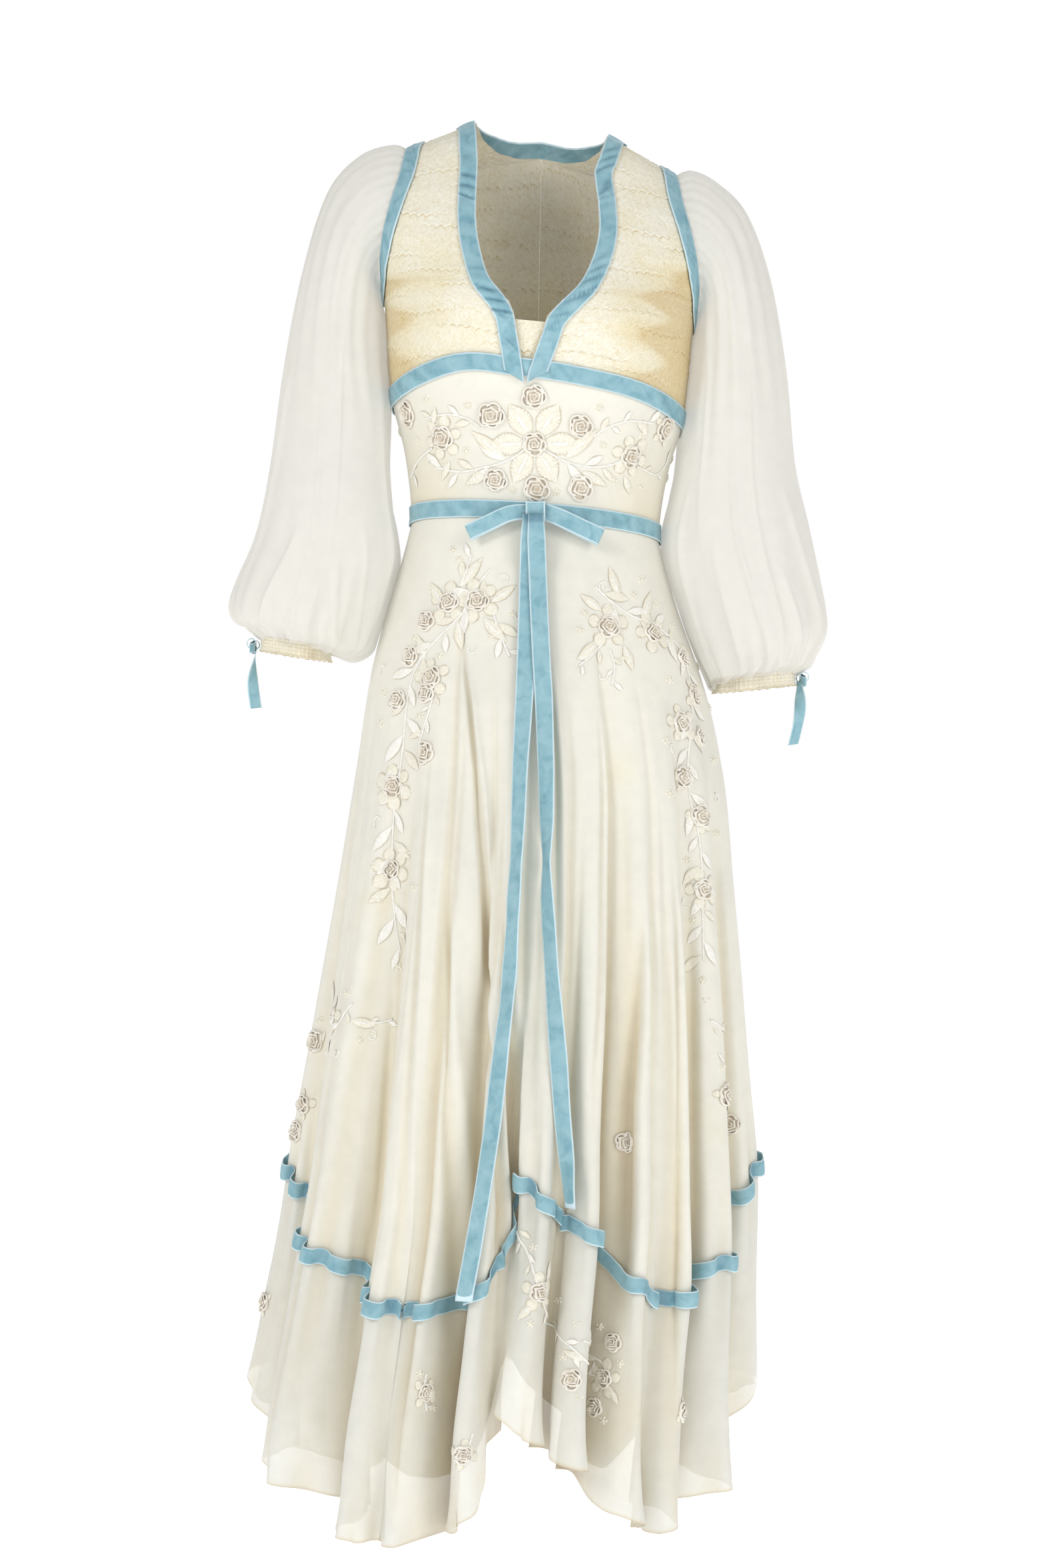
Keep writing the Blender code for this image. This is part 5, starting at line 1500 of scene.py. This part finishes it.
def wrapped_knot(name, centre, size, node):
    """Ribbon wrapped once round the middle of a bow, its edges to the left and right."""
    turn = between(0, 2 * math.pi, 49)[:-1]
    wide, deep, high = size
    y = -np.sign(np.cos(turn)) * np.abs(np.cos(turn)) ** 0.5 * deep / 2
    z = np.sign(np.sin(turn)) * np.abs(np.sin(turn)) ** 0.5 * high / 2
    share = between(-1, 1, 11)
    pinch = 1 + 0.05 * share[None, :] ** 2
    x = np.broadcast_to(share * wide / 2, (48, 11))
    points = np.stack((x, y[:, None] * pinch, z[:, None] * pinch), axis=-1) + np.array(centre)
    points[..., 1] -= 0.35 * np.sin(share * 7)[None, :] * (np.cos(turn) > 0)[:, None]
    edge = np.broadcast_to(np.abs(share), (48, 11)).copy()
    # Painted highlights along the knot's top and bottom folds, in the pale colour of the edges
    edge[41:43] = 1.0
    edge[6:8] = 1.0
    made = ribbon_mesh(name, points, (node,), BOW_THICK, edge, loop=True)


def hem_ribbon(label, first, last):
    """Ribbon over the seam above the tier, which bends squarely round each fold."""
    angle = between(first + RIBBON_END, last - RIBBON_END, HEM_COLUMNS)
    middle = ribbon_height(angle)
    rows = []
    for share in between(-1, 1, 9):
        height = middle + share * HEM_RIBBON_WIDTH / 2
        crown = HEM_LIFT + 0.5 * (1 - share ** 2)
        rows.append(draped(angle, height) + crown * normal_of(skirt, angle, height))
    points = np.stack(rows)
    run = run_of(points[4])
    share = between(-1, 1, 9)[:, None]
    standing = pipes(angle)
    ripple = HEM_PUCKER * (1 + standing) + 0.3 * np.sin(run / 2.3 + share)
    points = points + grid_normals(points) * ripple[..., None]
    points[..., 2] += HEM_DROP * standing + 0.9 * np.sin(run / 17.0 + 1.7 * np.sin(run / 37.0))
    edge = np.broadcast_to(np.abs(share), points.shape[:2])
    nodes = (f"hem_ribbon_{label}",)
    made = velvet(f"velvet_hem_{label}", points, *metric(points), edge, nodes, HEM_THICK)
    # Painted shade in the troughs between the pleats
    paint_shade(made, np.broadcast_to(0.15 - 0.75 * standing, points.shape[:2]))


def cuff_band(label, side, table):
    """The shirred elastic band below the sleeve and its small frill."""
    columns = CUFF_GATHERS * 7 + 1
    turn = between(0, 2 * math.pi, columns)
    sway = turn + 0.03 * np.sin(9 * turn) + 0.02 * np.sin(17 * turn + 1)
    strength = 0.75 + 0.35 * np.sin(6 * turn + 1) + 0.2 * np.sin(13 * turn)
    rows = []
    values = []
    for drop in between(CUFF_SEAM - CUFF_TUCK, CUFF_HEIGHT + FRILL_HEIGHT, 19):
        frill = max(0.0, (drop - CUFF_HEIGHT) / FRILL_HEIGHT)
        band = 1 - frill
        channel = 0.45 * math.cos(drop * 1.9) * band
        gather = np.cos(CUFF_GATHERS * sway + 0.35 * math.sin(drop * 0.8))
        lift = -1.4 + channel + gather * strength * (0.62 * band + 1.15 * frill) + 0.9 * frill
        ring, middle = oval(table[-1], turn, drop)
        ring = ring + unit(ring - middle) * lift[:, None]
        ring[:, 2] += 0.5 * frill * np.sin(CUFF_GATHERS * 0.5 * sway)
        ring[-1] = ring[0]
        rows.append(ring)
        # Painted shade in the gathers' valleys; the frill's rim takes the darkest fold colour
        values.append(np.full(columns, 1.0 if frill > 0.9 else 0.0) + 0.12 * (gather < -0.5))
    rings = outward_ring(np.stack(rows), side)
    value = outward_ring(np.stack(values), side)
    nodes = (f"cuff_{label}",)
    made = cloth(f"chiffon_cuff_{label}", rings, "sheer", nodes, "cuff", loop=True, value=value)


def cuff_bow(label, side, knot_x, knot_z, end_x, end_z):
    """A small bow on the outer side of a cuff: a loop seen edge-on, its knot and one long tail."""
    pile = Pile()
    share = between(-1, 1, 7)
    near = knot_x + side * CUFF_KNOT_OUT

    def add(x, y, z, across, width):
        count = len(z)
        path = np.stack((x, np.broadcast_to(y, count), z), axis=-1)
        across = unit(np.broadcast_to(across, (count, 3)))
        half = np.broadcast_to(width, count)[:, None] / 2 * share
        points = path[:, None] + across[:, None] * half[..., None]
        points = points if side > 0 else points[:, ::-1]
        pile.add(points, np.broadcast_to(np.abs(share), points.shape[:2]))

    whole = between(0, 2 * math.pi, 26)
    out = (1 - np.cos(whole)) / 2
    for way, length in CUFF_LOOPS:
        x = near + side * (2.5 + np.sin(whole) * 2.3 * 0.9 + 2.2 * out)
        add(x, way * (1 + length * out), knot_z - 1 - 3.0 * out, (0, 0, 1.0), 9.5)
    turn = between(-0.5, 1.5, 26) * math.pi
    x = near + side * (1.0 + 4.6 * (1 - np.sin(turn)) * 0.9)
    add(x, -4.0, knot_z + 1.5 + 4.8 * np.cos(turn), (0.10 * side, 1.0, 0), 8.0)
    spin = between(0, 2 * math.pi, 17)
    add(near + side * (1.5 + 4.0 * np.cos(spin)), -0.5, knot_z + 4.3 * np.sin(spin), (0, 1.0, 0), 8.0)
    down = between(0, 1, 40)
    lean = 3.0 * np.sin(down * math.pi * 1.1) * side
    x = blend(near, end_x + side * 2.0, down) + lean
    y = -3.0 - 2.5 * np.sin(down * math.pi)
    twist = np.radians(80) * (1 - smoothstep(0.0, 0.75, down)) + np.radians(CUFF_END_TURN[label])
    across = np.stack((np.cos(twist) * side, -np.sin(twist), 0.12 * np.ones(40) * side), axis=-1)
    width = CUFF_TAIL_WIDTH * (0.62 + 0.38 * smoothstep(0, 0.3, down))
    add(x, y, blend(knot_z - 2.5, end_z, down), across, width)
    made = pile.piece(f"velvet_cuff_bow_{label}", "velvet", (f"cuff_bow_{label}",))
    thicken(made, CUFF_BOW_THICK, 0)
    length = 0.0
    for grid in pile.points:
        grid = grid.reshape(-1, 7, 3)
        run = steps_of(grid[:, 3]).sum()
        length += run


def sleeve_relief(turn, run, length, label):
    """Gathers that fan up from the cuff, small gathers at the head and a few long soft folds."""
    seed = 0.0 if label == "left" else 2.1
    below = length - run
    low = np.exp(-run / 26.0)
    fan = 2.3 * np.exp(-(run / 75.0) ** 2) * (1 - 0.4 * low)
    beside = smoothstep(10, 70, below) * (1 - smoothstep(150, 270, below))
    corner = np.exp(-((run - 27.0) / 22.0) ** 2) * smoothstep(0, 8, run)
    relief = low * np.cos(58 * turn + 1.2 * np.sin(5 * turn + seed))
    relief += fan * np.sin(23 * turn + run / 40.0 + 2 * np.sin(3 * turn + seed))
    relief += 1.9 * np.exp(-(run / 140.0) ** 2) * np.sin(13 * turn - run / 60.0 + seed)
    relief += 0.8 * np.exp(-below / 22.0) * np.sin(36 * turn + 1.5 * np.sin(4 * turn))
    relief += SLEEVE_INWARD * beside * np.exp(-((turn - math.pi) / 0.8) ** 2)
    relief += beside * np.sin(17 * turn + 1.5 * np.sin(below / 60.0 + seed))
    relief -= SLEEVE_ROUND * corner * (0.3 + 0.7 * (0.5 + 0.5 * np.cos(turn)))
    for place, bend, width, depth, first, last in SLEEVE_FOLDS[label]:
        share = np.clip((run - first) / (last - first), 0, 1)
        off = turn - np.radians(place) - bend * (share - 0.5)
        off = (off + math.pi) % (2 * math.pi) - math.pi
        relief += 1.35 * depth * np.sin(math.pi * share) ** 0.6 * np.exp(-(off / width) ** 2)
    return relief


def seen_at(surface, across, down):
    """The place on a surface seen at a pixel of the photo: its angle and height."""
    x = (across - ORIGIN_ACROSS) * PIXEL
    level = (ORIGIN_DOWN - down) * PIXEL
    middle, width = 0.0, SEEN_REACH
    for count in (181, 41):
        angle = between(middle - width, middle + width, count)
        z = np.full_like(angle, level)
        for _ in range(3):
            points = surface(angle, z)
            near = (VIEW_DISTANCE + points[:, 1]) / VIEW_DISTANCE
            z = z + VIEW_Z + (level - VIEW_Z) * near - points[:, 2]
        points = surface(angle, z)
        near = (VIEW_DISTANCE + points[:, 1]) / VIEW_DISTANCE
        miss = np.abs((points[:, 0] - VIEW_X) / near + VIEW_X - x)
        best = int(np.argmin(miss + 0.02 * points[:, 1]))
        middle, width = angle[best], 2 * width / (count - 1)
    return angle[best], z[best]


def sprig(cords, leaves, petals, surface, pixels, spacing, length, width, seed):
    """A couched stem with pointed satin leaves left and right of it in turn."""
    stem(cords, surface, [seen_at(surface, *pixel) for pixel in pixels], thick=1.05, beads=0.18)
    fine = smooth_through(np.array(pixels, dtype=float)[:, None, :], 80, 0)[:, 0]
    run = run_of(fine) * PIXEL
    count = max(1, int(run[-1] / spacing))
    for index in range(count):
        at = (index + 0.6) * run[-1] / count
        pixel = [np.interp(at, run, fine[:, axis]) for axis in range(2)]
        after = [np.interp(at + 3, run, fine[:, axis]) for axis in range(2)]
        way = 1 if index % 2 else -1
        wobble = math.sin(index * 2.1 + seed * 1.7)
        heading = math.atan2(after[0] - pixel[0], pixel[1] - after[1]) + way * (0.72 + 0.25 * wobble)
        size = 1 + 0.22 * math.sin(index * 1.3 + seed)
        pile = leaves if index % 3 else petals
        place = seen_at(surface, *pixel)
        petal(pile, surface, *place, heading, 0.8, length * size, width * size, rise=1.1, tip=1.15)


def scroll(cords, surface, pixel, heading, size):
    """A small curled tendril of cord."""
    u, v = seen_at(surface, *pixel)
    share = between(0, 1, 26)
    turn = heading + share * SCROLL_SWEEP - SCROLL_TURN
    reach = size * (1 - 0.8 * share)
    x = size * math.sin(heading + SCROLL_TURN) + reach * np.sin(turn)
    y = size * math.cos(heading + SCROLL_TURN) + reach * np.cos(turn)
    rows = []
    for tilt in between(-0.5, 0.5, 5) * math.pi:
        out = CORD_RADIUS * math.sin(tilt)
        height = np.full(26, CORD_SINK + CORD_RADIUS * math.cos(tilt))
        rows.append(laid_on(surface, u, v, x + out * np.sin(turn), y + out * np.cos(turn), height))
    cords.add(np.stack(rows))


def sampled(surface, bottom, top):
    """The front of a surface read off a fine grid, quick enough for thousands of stitches."""
    first, last = -PLACE_REACH, PLACE_REACH
    columns, rows = PLACE_GRID
    grid = surface(*np.meshgrid(between(first, last, columns), between(bottom, top, rows)))

    def look_up(angle, z):
        angle, z = np.broadcast_arrays(angle, z)
        right = np.clip((angle - first) / (last - first) * (columns - 1), 0, columns - 1.001)
        high = np.clip((z - bottom) / (top - bottom) * (rows - 1), 0, rows - 1.001)
        i, j = right.astype(int), high.astype(int)
        s, t = (right - i)[..., None], (high - j)[..., None]
        low = grid[j, i] * (1 - s) + grid[j, i + 1] * s
        high = grid[j + 1, i] * (1 - s) + grid[j + 1, i + 1] * s
        return low * (1 - t) + high * t

    return look_up


def large_flower(petals, leaves, surface):
    """The six-petalled flower at the middle of the midriff, its petals veined and knotted."""
    u, v = seen_at(surface, *FLOWER_PIXEL)
    for index in range(6):
        heading = FLOWER_TURN + index * FLOWER_STEP
        petal(petals, surface, u, v, heading, 7.5, 36, 22, 1.2, 1.0, 0.85)
        petal(leaves, surface, u, v, heading, 9.5, 27, 4.6, rise=2.2, tip=1.1)
        for step in range(9):
            share = (step + 0.5) / 9
            reach = 12 + 29.0 * share
            for way in (-1, 1):
                side = way * 9.4 * math.sin(math.pi * share)
                x = reach * math.sin(heading) + side * math.cos(heading)
                y = reach * math.cos(heading) - side * math.sin(heading)
                knot_dot(leaves, surface, *stepped(surface, u, v, x, y), SMALL_KNOT)


def place_embroidery():
    """Ribbon roses, padded petals, leaves, stems and knots, about where the photo has them."""
    roses, petals, leaves, cords = Pile(), Pile(), Pile(), Pile()
    chest = sampled(torso, -390.0, -150.0)
    skirts = sampled(draped, -1390.0, -378.0)
    work = ((chest, MIDRIFF_FLOWERS, MIDRIFF_STEMS, MIDRIFF_KNOTS, MIDRIFF_LEAVES),
            (skirts, SKIRT_FLOWERS, SKIRT_STEMS, SKIRT_KNOTS, SKIRT_LEAVES),
            (skirts, TIER_FLOWERS, TIER_STEMS, TIER_KNOTS, TIER_LEAVES))
    for (surface, flowers, stems, knots, large), size in zip(work, ROSE_SIZES):
        for across, down, heading, length, width in large:
            place = seen_at(surface, across, down)
            petal(petals, surface, *place, heading, 1.5, length, width, rise=1.3, tip=0.9)
            petal(leaves, surface, *place, heading, 1.5, length * 0.8, width * 0.28, rise=2.0, tip=0.9)
        for index, (across, down, count, length) in enumerate(flowers):
            place = seen_at(surface, across, down)
            radius = size * (1 + 0.08 * math.sin(index * 1.9))
            rose(roses, surface, *place, radius, index * 1.3)
            flower(petals, surface, *place, count, radius * 0.8, length, length * 0.95, index * 0.9)
        for index, (pixels, spacing, length, width) in enumerate(stems):
            sprig(cords, leaves, petals, surface, pixels, spacing, length, width, index)
        for across, down in knots:
            knot_dot(petals, surface, *seen_at(surface, across, down), KNOT_RADIUS)
            for turn in range(5):
                angle = turn * KNOT_STEP + across
                beside = across + KNOT_RING * math.sin(angle), down + KNOT_RING * math.cos(angle)
                knot_dot(petals, surface, *seen_at(surface, *beside), SMALL_KNOT)
    large_flower(petals, leaves, chest)
    for pixel, heading, size in SCROLLS:
        scroll(cords, skirts, pixel, heading, size)
    roses.piece("roses_folded_ribbon", "silk", finish="rose")
    petals.piece("petals_padded", "silk", finish="petal")
    leaves.piece("leaves_satin_stitch", "silk", finish="thread")
    cords.piece("stems_couched", "silk", finish="thread")


def lace_relief(across, up):
    """Height of the lace over its silk ground: crinkled threads, knots and scalloped cords."""
    u = across / LACE_CELL + 0.9 * np.sin(up / 9.0 + 1.3 * np.sin(across / 17.0))
    v = up / LACE_CELL + 0.9 * np.sin(across / 8.0 + 1.1 * np.sin(up / 13.0))
    crackle = np.sin(2 * math.pi * u + 2.0 * np.sin(2.1 * v))
    crackle = crackle * np.sin(2 * math.pi * v + 1.7 * np.sin(1.7 * u))
    knots = np.sin(across / 2.9 + 2.6 * np.sin(up / 6.1)) * np.sin(up / 2.6 + 2.2 * np.sin(across / 7.3))
    height = 0.34 * crackle + 0.5 * np.clip(knots, 0, 1) ** 2
    nearest = np.round(up / LACE_ROW)
    zigzag = 3.0 * np.abs(np.sin(np.pi * across / LACE_SCALLOP + nearest * 1.3)) - 1.2
    wander = 2.6 * np.sin(nearest * 2.7 + across / 37.0) + 1.2 * np.sin(across / 11.0 + nearest)
    shown = np.clip(0.15 + 1.1 * np.sin(nearest * 1.9 + across / 29.0), 0, 1)
    off = up - nearest * LACE_ROW - zigzag - wander
    cord = np.exp(-(off / 0.9) ** 2)
    # A groove under each cord, which the lace's colour also paints as shade
    under = np.exp(-((off + 1.9) / 0.8) ** 2)
    return height + shown * (1.4 * cord - 1.2 * under)


def lace_panel(name, points, node, side=None):
    """A lace panel: relief worked out from its own lengths; side adds yellow age and painted shade along
    the side seam, below the sleeve.
    """
    across, up = metric(points)
    height = lace_relief(across, up)
    # The height also colours the lace: painted shade low down, painted light on raised threads
    value = np.clip((height + 0.55) / 1.3, 0, 1)
    made = cloth(name, points, "lace", (node,), relief=LACE_HEIGHT * height, value=value)
    age_and_shade = np.zeros(points.shape[:2])
    if side is not None:
        age_and_shade = np.abs(points[..., 0]) / np.abs(points[..., 0]).max(axis=1, keepdims=True)
        age_and_shade = age_and_shade * smoothstep(-105, -150, points[..., 2]) + 0.10 * np.sin(up / 7.0)
        # Painted shade from the sleeve: stronger on the right side
        age_and_shade = age_and_shade * (1.3 if side > 0 else 1.05)
    store(made, "age_and_shade", age_and_shade)


# Lace
for label, side in BOTH:
    points = front_panel(side, *FRONT_GRID)
    lace_panel(f"lace_front_{label}", points, f"bodice_front_{label}", side)
    lace_panel(f"lace_back_{label}", back_panel(side, *BACK_GRID), f"bodice_back_{label}", side)

rows = []
for z in INSET_HEIGHTS:
    left = angle_at(smooth_column(NECK_FRONT, 1, z) - INSET_TUCK, z)
    right = angle_at(smooth_column(NECK_FRONT, 2, z) + INSET_TUCK, z)
    phi = between(left, right, 5)
    height = np.full_like(phi, z)
    rows.append(torso(phi, height) - (WALL + INSET_BEHIND) * normal_of(torso, phi, height))
inset = smooth_through(smooth_through(np.stack(rows), INSET_GRID[1], 0), INSET_GRID[0], 1)
lace_panel("lace_inset", inset, "notch_inset")

# Midriff, whose front has yellowed low down at its sides
points = torso_band(-SIDE_FRONT, SIDE_FRONT, MIDRIFF_COLUMNS, MIDRIFF_ROWS)
low_down = (1 - between(0, 1, MIDRIFF_ROWS)[:, None]) ** 1.3
sideways = smoothstep(0.2, 0.6, np.abs(between(-1, 1, MIDRIFF_COLUMNS)))
aged = 0.42 * low_down * sideways[None, :]
made = cloth("silk_midriff_front", points, "silk", ("midriff_front",), value=aged)
for label, side in BOTH:
    first, last = sorted((side * (math.pi - BACK_GAP), side * SIDE_FRONT))
    points = torso_band(first, last, MIDRIFF_BACK_COLUMNS, MIDRIFF_ROWS)
    made = cloth(f"silk_midriff_back_{label}", points, "silk", (f"midriff_back_{label}",))

# Skirt, tier and lining
for label, first, last in SIDES:
    columns, skirt_rows, tier_rows = SKIRT_GRID[label]
    around_skirt = between(first, last, columns)
    seam = ribbon_height(around_skirt)
    waist = waist_height(around_skirt) - SEAM / 2
    points, angle, height = draped_panel(around_skirt, seam, waist, skirt_rows)
    # Painted shade deep in the skirt's folds
    value = fold_depth(angle, height)
    made = cloth(f"silk_skirt_{label}", points, "silk", (f"skirt_{label}",), value=value)
    seam = seam - SEAM - TIER_SEAM_DROP
    points, angle, height = draped_panel(around_skirt, hem_height(around_skirt), seam, tier_rows)
    # Painted shade deep in the tier's folds, and its hem row darker
    value = fold_depth(angle, height)
    value[0] = TIER_EDGE
    made = cloth(f"silk_tier_{label}", points, "silk", (f"tier_{label}",), "tier", value=value)
    points = lining_panel(first, last, *LINING_GRID)
    made = cloth(f"silk_lining_{label}", points, "lining", (f"lining_{label}",))

# Sleeves and cuffs
for (label, side), table in zip(BOTH, (SLEEVE_LEFT, SLEEVE_RIGHT)):
    rings = outward_ring(sleeve_rings(side, table, SLEEVE_COLUMNS, SLEEVE_ROWS), side)
    turn = between(0, 2 * math.pi, SLEEVE_COLUMNS)[None, :]
    turn = turn if side < 0 else turn[:, ::-1]
    _, run = metric(rings)
    relief = sleeve_relief(turn, run, run.max(), label)
    towards = np.interp(-rings[..., 2], *np.array(SLEEVE_BESIDE[label]).T)
    relief = relief + towards * np.exp(-((turn - math.pi) / 0.75) ** 2)
    nodes = (f"sleeve_{label}",)
    made = cloth(f"chiffon_sleeve_{label}", rings, "sheer", nodes, loop=True, relief=relief)
    cuff_band(label, side, table)
for (label, side), place in zip(BOTH, CUFF_BOWS):
    cuff_bow(label, side, *place)

# Ribbons
for label, side in BOTH:
    z = np.array(POINT_HEIGHTS + RIBBON_LEVELS, dtype=float)
    phi = angle_at(column(NECK_FRONT, 1 if side < 0 else 2, z), z)
    lift = LIFT + POINT_LIFT * (1 - smoothstep(-231, -218, z))
    inner = (SEAM, RIBBON_WIDTH) if side < 0 else (-RIBBON_WIDTH, -SEAM)
    strip = to_shoulder(strip_points(torso, phi, z, *inner, lift), (-1,))
    ribbon_strip(f"velvet_neck_{label}", strip, (f"neck_ribbon_{label}",), pucker=1.0, seed=side + 0.4,
                 mitre=(0, MITRE) if side < 0 else (MITRE, 0), creases=NECK_CREASES[label])
    _, phi, z = armhole_ring(side, 33)
    inner = (-RIBBON_WIDTH, -SEAM) if side < 0 else (SEAM, RIBBON_WIDTH)
    strip = to_shoulder(strip_points(torso, phi[::-1], z[::-1], *inner, LIFT), (0, -1))
    nodes = (f"armhole_ribbon_{label}",)
    ribbon_strip(f"velvet_armhole_{label}", strip, nodes, pucker=0.6, seed=side + 2.0)
for name, surface, seam in (("underbust", torso, underbust_height), ("waist", body, waist_height)):
    phi = between(-math.pi + BACK_GAP * 2, math.pi - BACK_GAP * 2, STRIP_COLUMNS)
    strip = strip_points(surface, phi, seam(phi), -RIBBON_WIDTH / 2, RIBBON_WIDTH / 2, LIFT)
    ribbon_strip(f"velvet_{name}", strip, (f"{name}_ribbon",), pucker=0.5, seed=4.0)

x = between(-NECK_BACK_LINE[-1][0], NECK_BACK_LINE[-1][0], 61)
z = np.interp(np.abs(x), *np.array(NECK_BACK_LINE).T)
phi = math.pi - angle_at(x, z)
phi = np.where(x < 0, phi - 2 * math.pi, phi) % (2 * math.pi)
strip = to_shoulder(strip_points(torso, phi, z, -RIBBON_WIDTH, 0.8, LIFT - SEAM), (0, -1))
ribbon_strip("velvet_neck_back", strip, ("neck_ribbon_back",), seed=1.0)
for label, first, last in SIDES:
    hem_ribbon(label, first, last)

# Waist bow
tail("left", TAIL_LEFT, 0.0)
tail("right", TAIL_RIGHT, TAIL_OVER_TAIL)
for label, places, width in LOOPS:
    bow_loop(label, places, width)
wrapped_knot("velvet_knot", KNOT_CENTRE, KNOT_SIZE, "bow_knot")

# Roses and embroidery
place_embroidery()

# Floor, lights and camera
FLOOR_HALF = 9
FLOOR_HEIGHT = -1.42
corners = [(x * FLOOR_HALF, y * FLOOR_HALF, FLOOR_HEIGHT)
           for x, y in ((-1, -1), (1, -1), (1, 1), (-1, 1))]
floor_mesh = bpy.data.meshes.new("floor")
floor_mesh.from_pydata(corners, [], [(0, 1, 2, 3)])
floor = bpy.data.objects.new("floor", floor_mesh)
bpy.context.scene.collection.objects.link(floor)
pale = bpy.data.materials.new("pale_floor")
pale.use_nodes = True
paint = pale.node_tree.nodes["Principled BSDF"].inputs
paint["Base Color"].default_value = (0.92, 0.92, 0.92, 1)
paint["Emission Color"].default_value = (1, 1, 1, 1)
paint["Emission Strength"].default_value = 0.62
floor_mesh.materials.append(pale)


def area_light(name, place, aim, size, power):
    lamp = bpy.data.lights.new(name, "AREA")
    lamp.size = size
    lamp.energy = power
    made = bpy.data.objects.new(name, lamp)
    made.location = place
    made.rotation_euler = (Point(aim) - Point(place)).to_track_quat("-Z", "Y").to_euler()
    bpy.context.scene.collection.objects.link(made)


area_light("key", (-2.6, -2.9, 1.3), (0, 0, -0.6), 1.3, 51)
area_light("fill", (2.5, -2.9, 0.9), (0, 0, -0.7), 1.8, 43)
area_light("rim", (0.6, 3.4, 1.8), (0, 0, -0.5), 2.4, 40)

# The world looks white to the camera and lights the dress less strongly
world = bpy.data.worlds.new("studio")
world.use_nodes = True
sky = world.node_tree.nodes["Background"]
sky.inputs["Color"].default_value = (1, 1, 1, 1)
seen = world.node_tree.nodes.new("ShaderNodeLightPath")
level = world.node_tree.nodes.new("ShaderNodeMapRange")
level.inputs["To Min"].default_value = 0.46
level.inputs["To Max"].default_value = 1.0
world.node_tree.links.new(seen.outputs["Is Camera Ray"], level.inputs["Value"])
world.node_tree.links.new(level.outputs["Result"], sky.inputs["Strength"])
bpy.context.scene.world = world
bpy.context.scene.view_settings.view_transform = "Standard"

lens = bpy.data.cameras.new("camera")
lens.lens = 78.9
lens.sensor_width = 36.0
camera = bpy.data.objects.new("camera", lens)
camera.location = (VIEW_X * MM, -VIEW_DISTANCE * MM, VIEW_Z * MM)
camera.rotation_euler = (math.pi / 2, 0, 0)
bpy.context.scene.collection.objects.link(camera)
bpy.context.scene.camera = camera
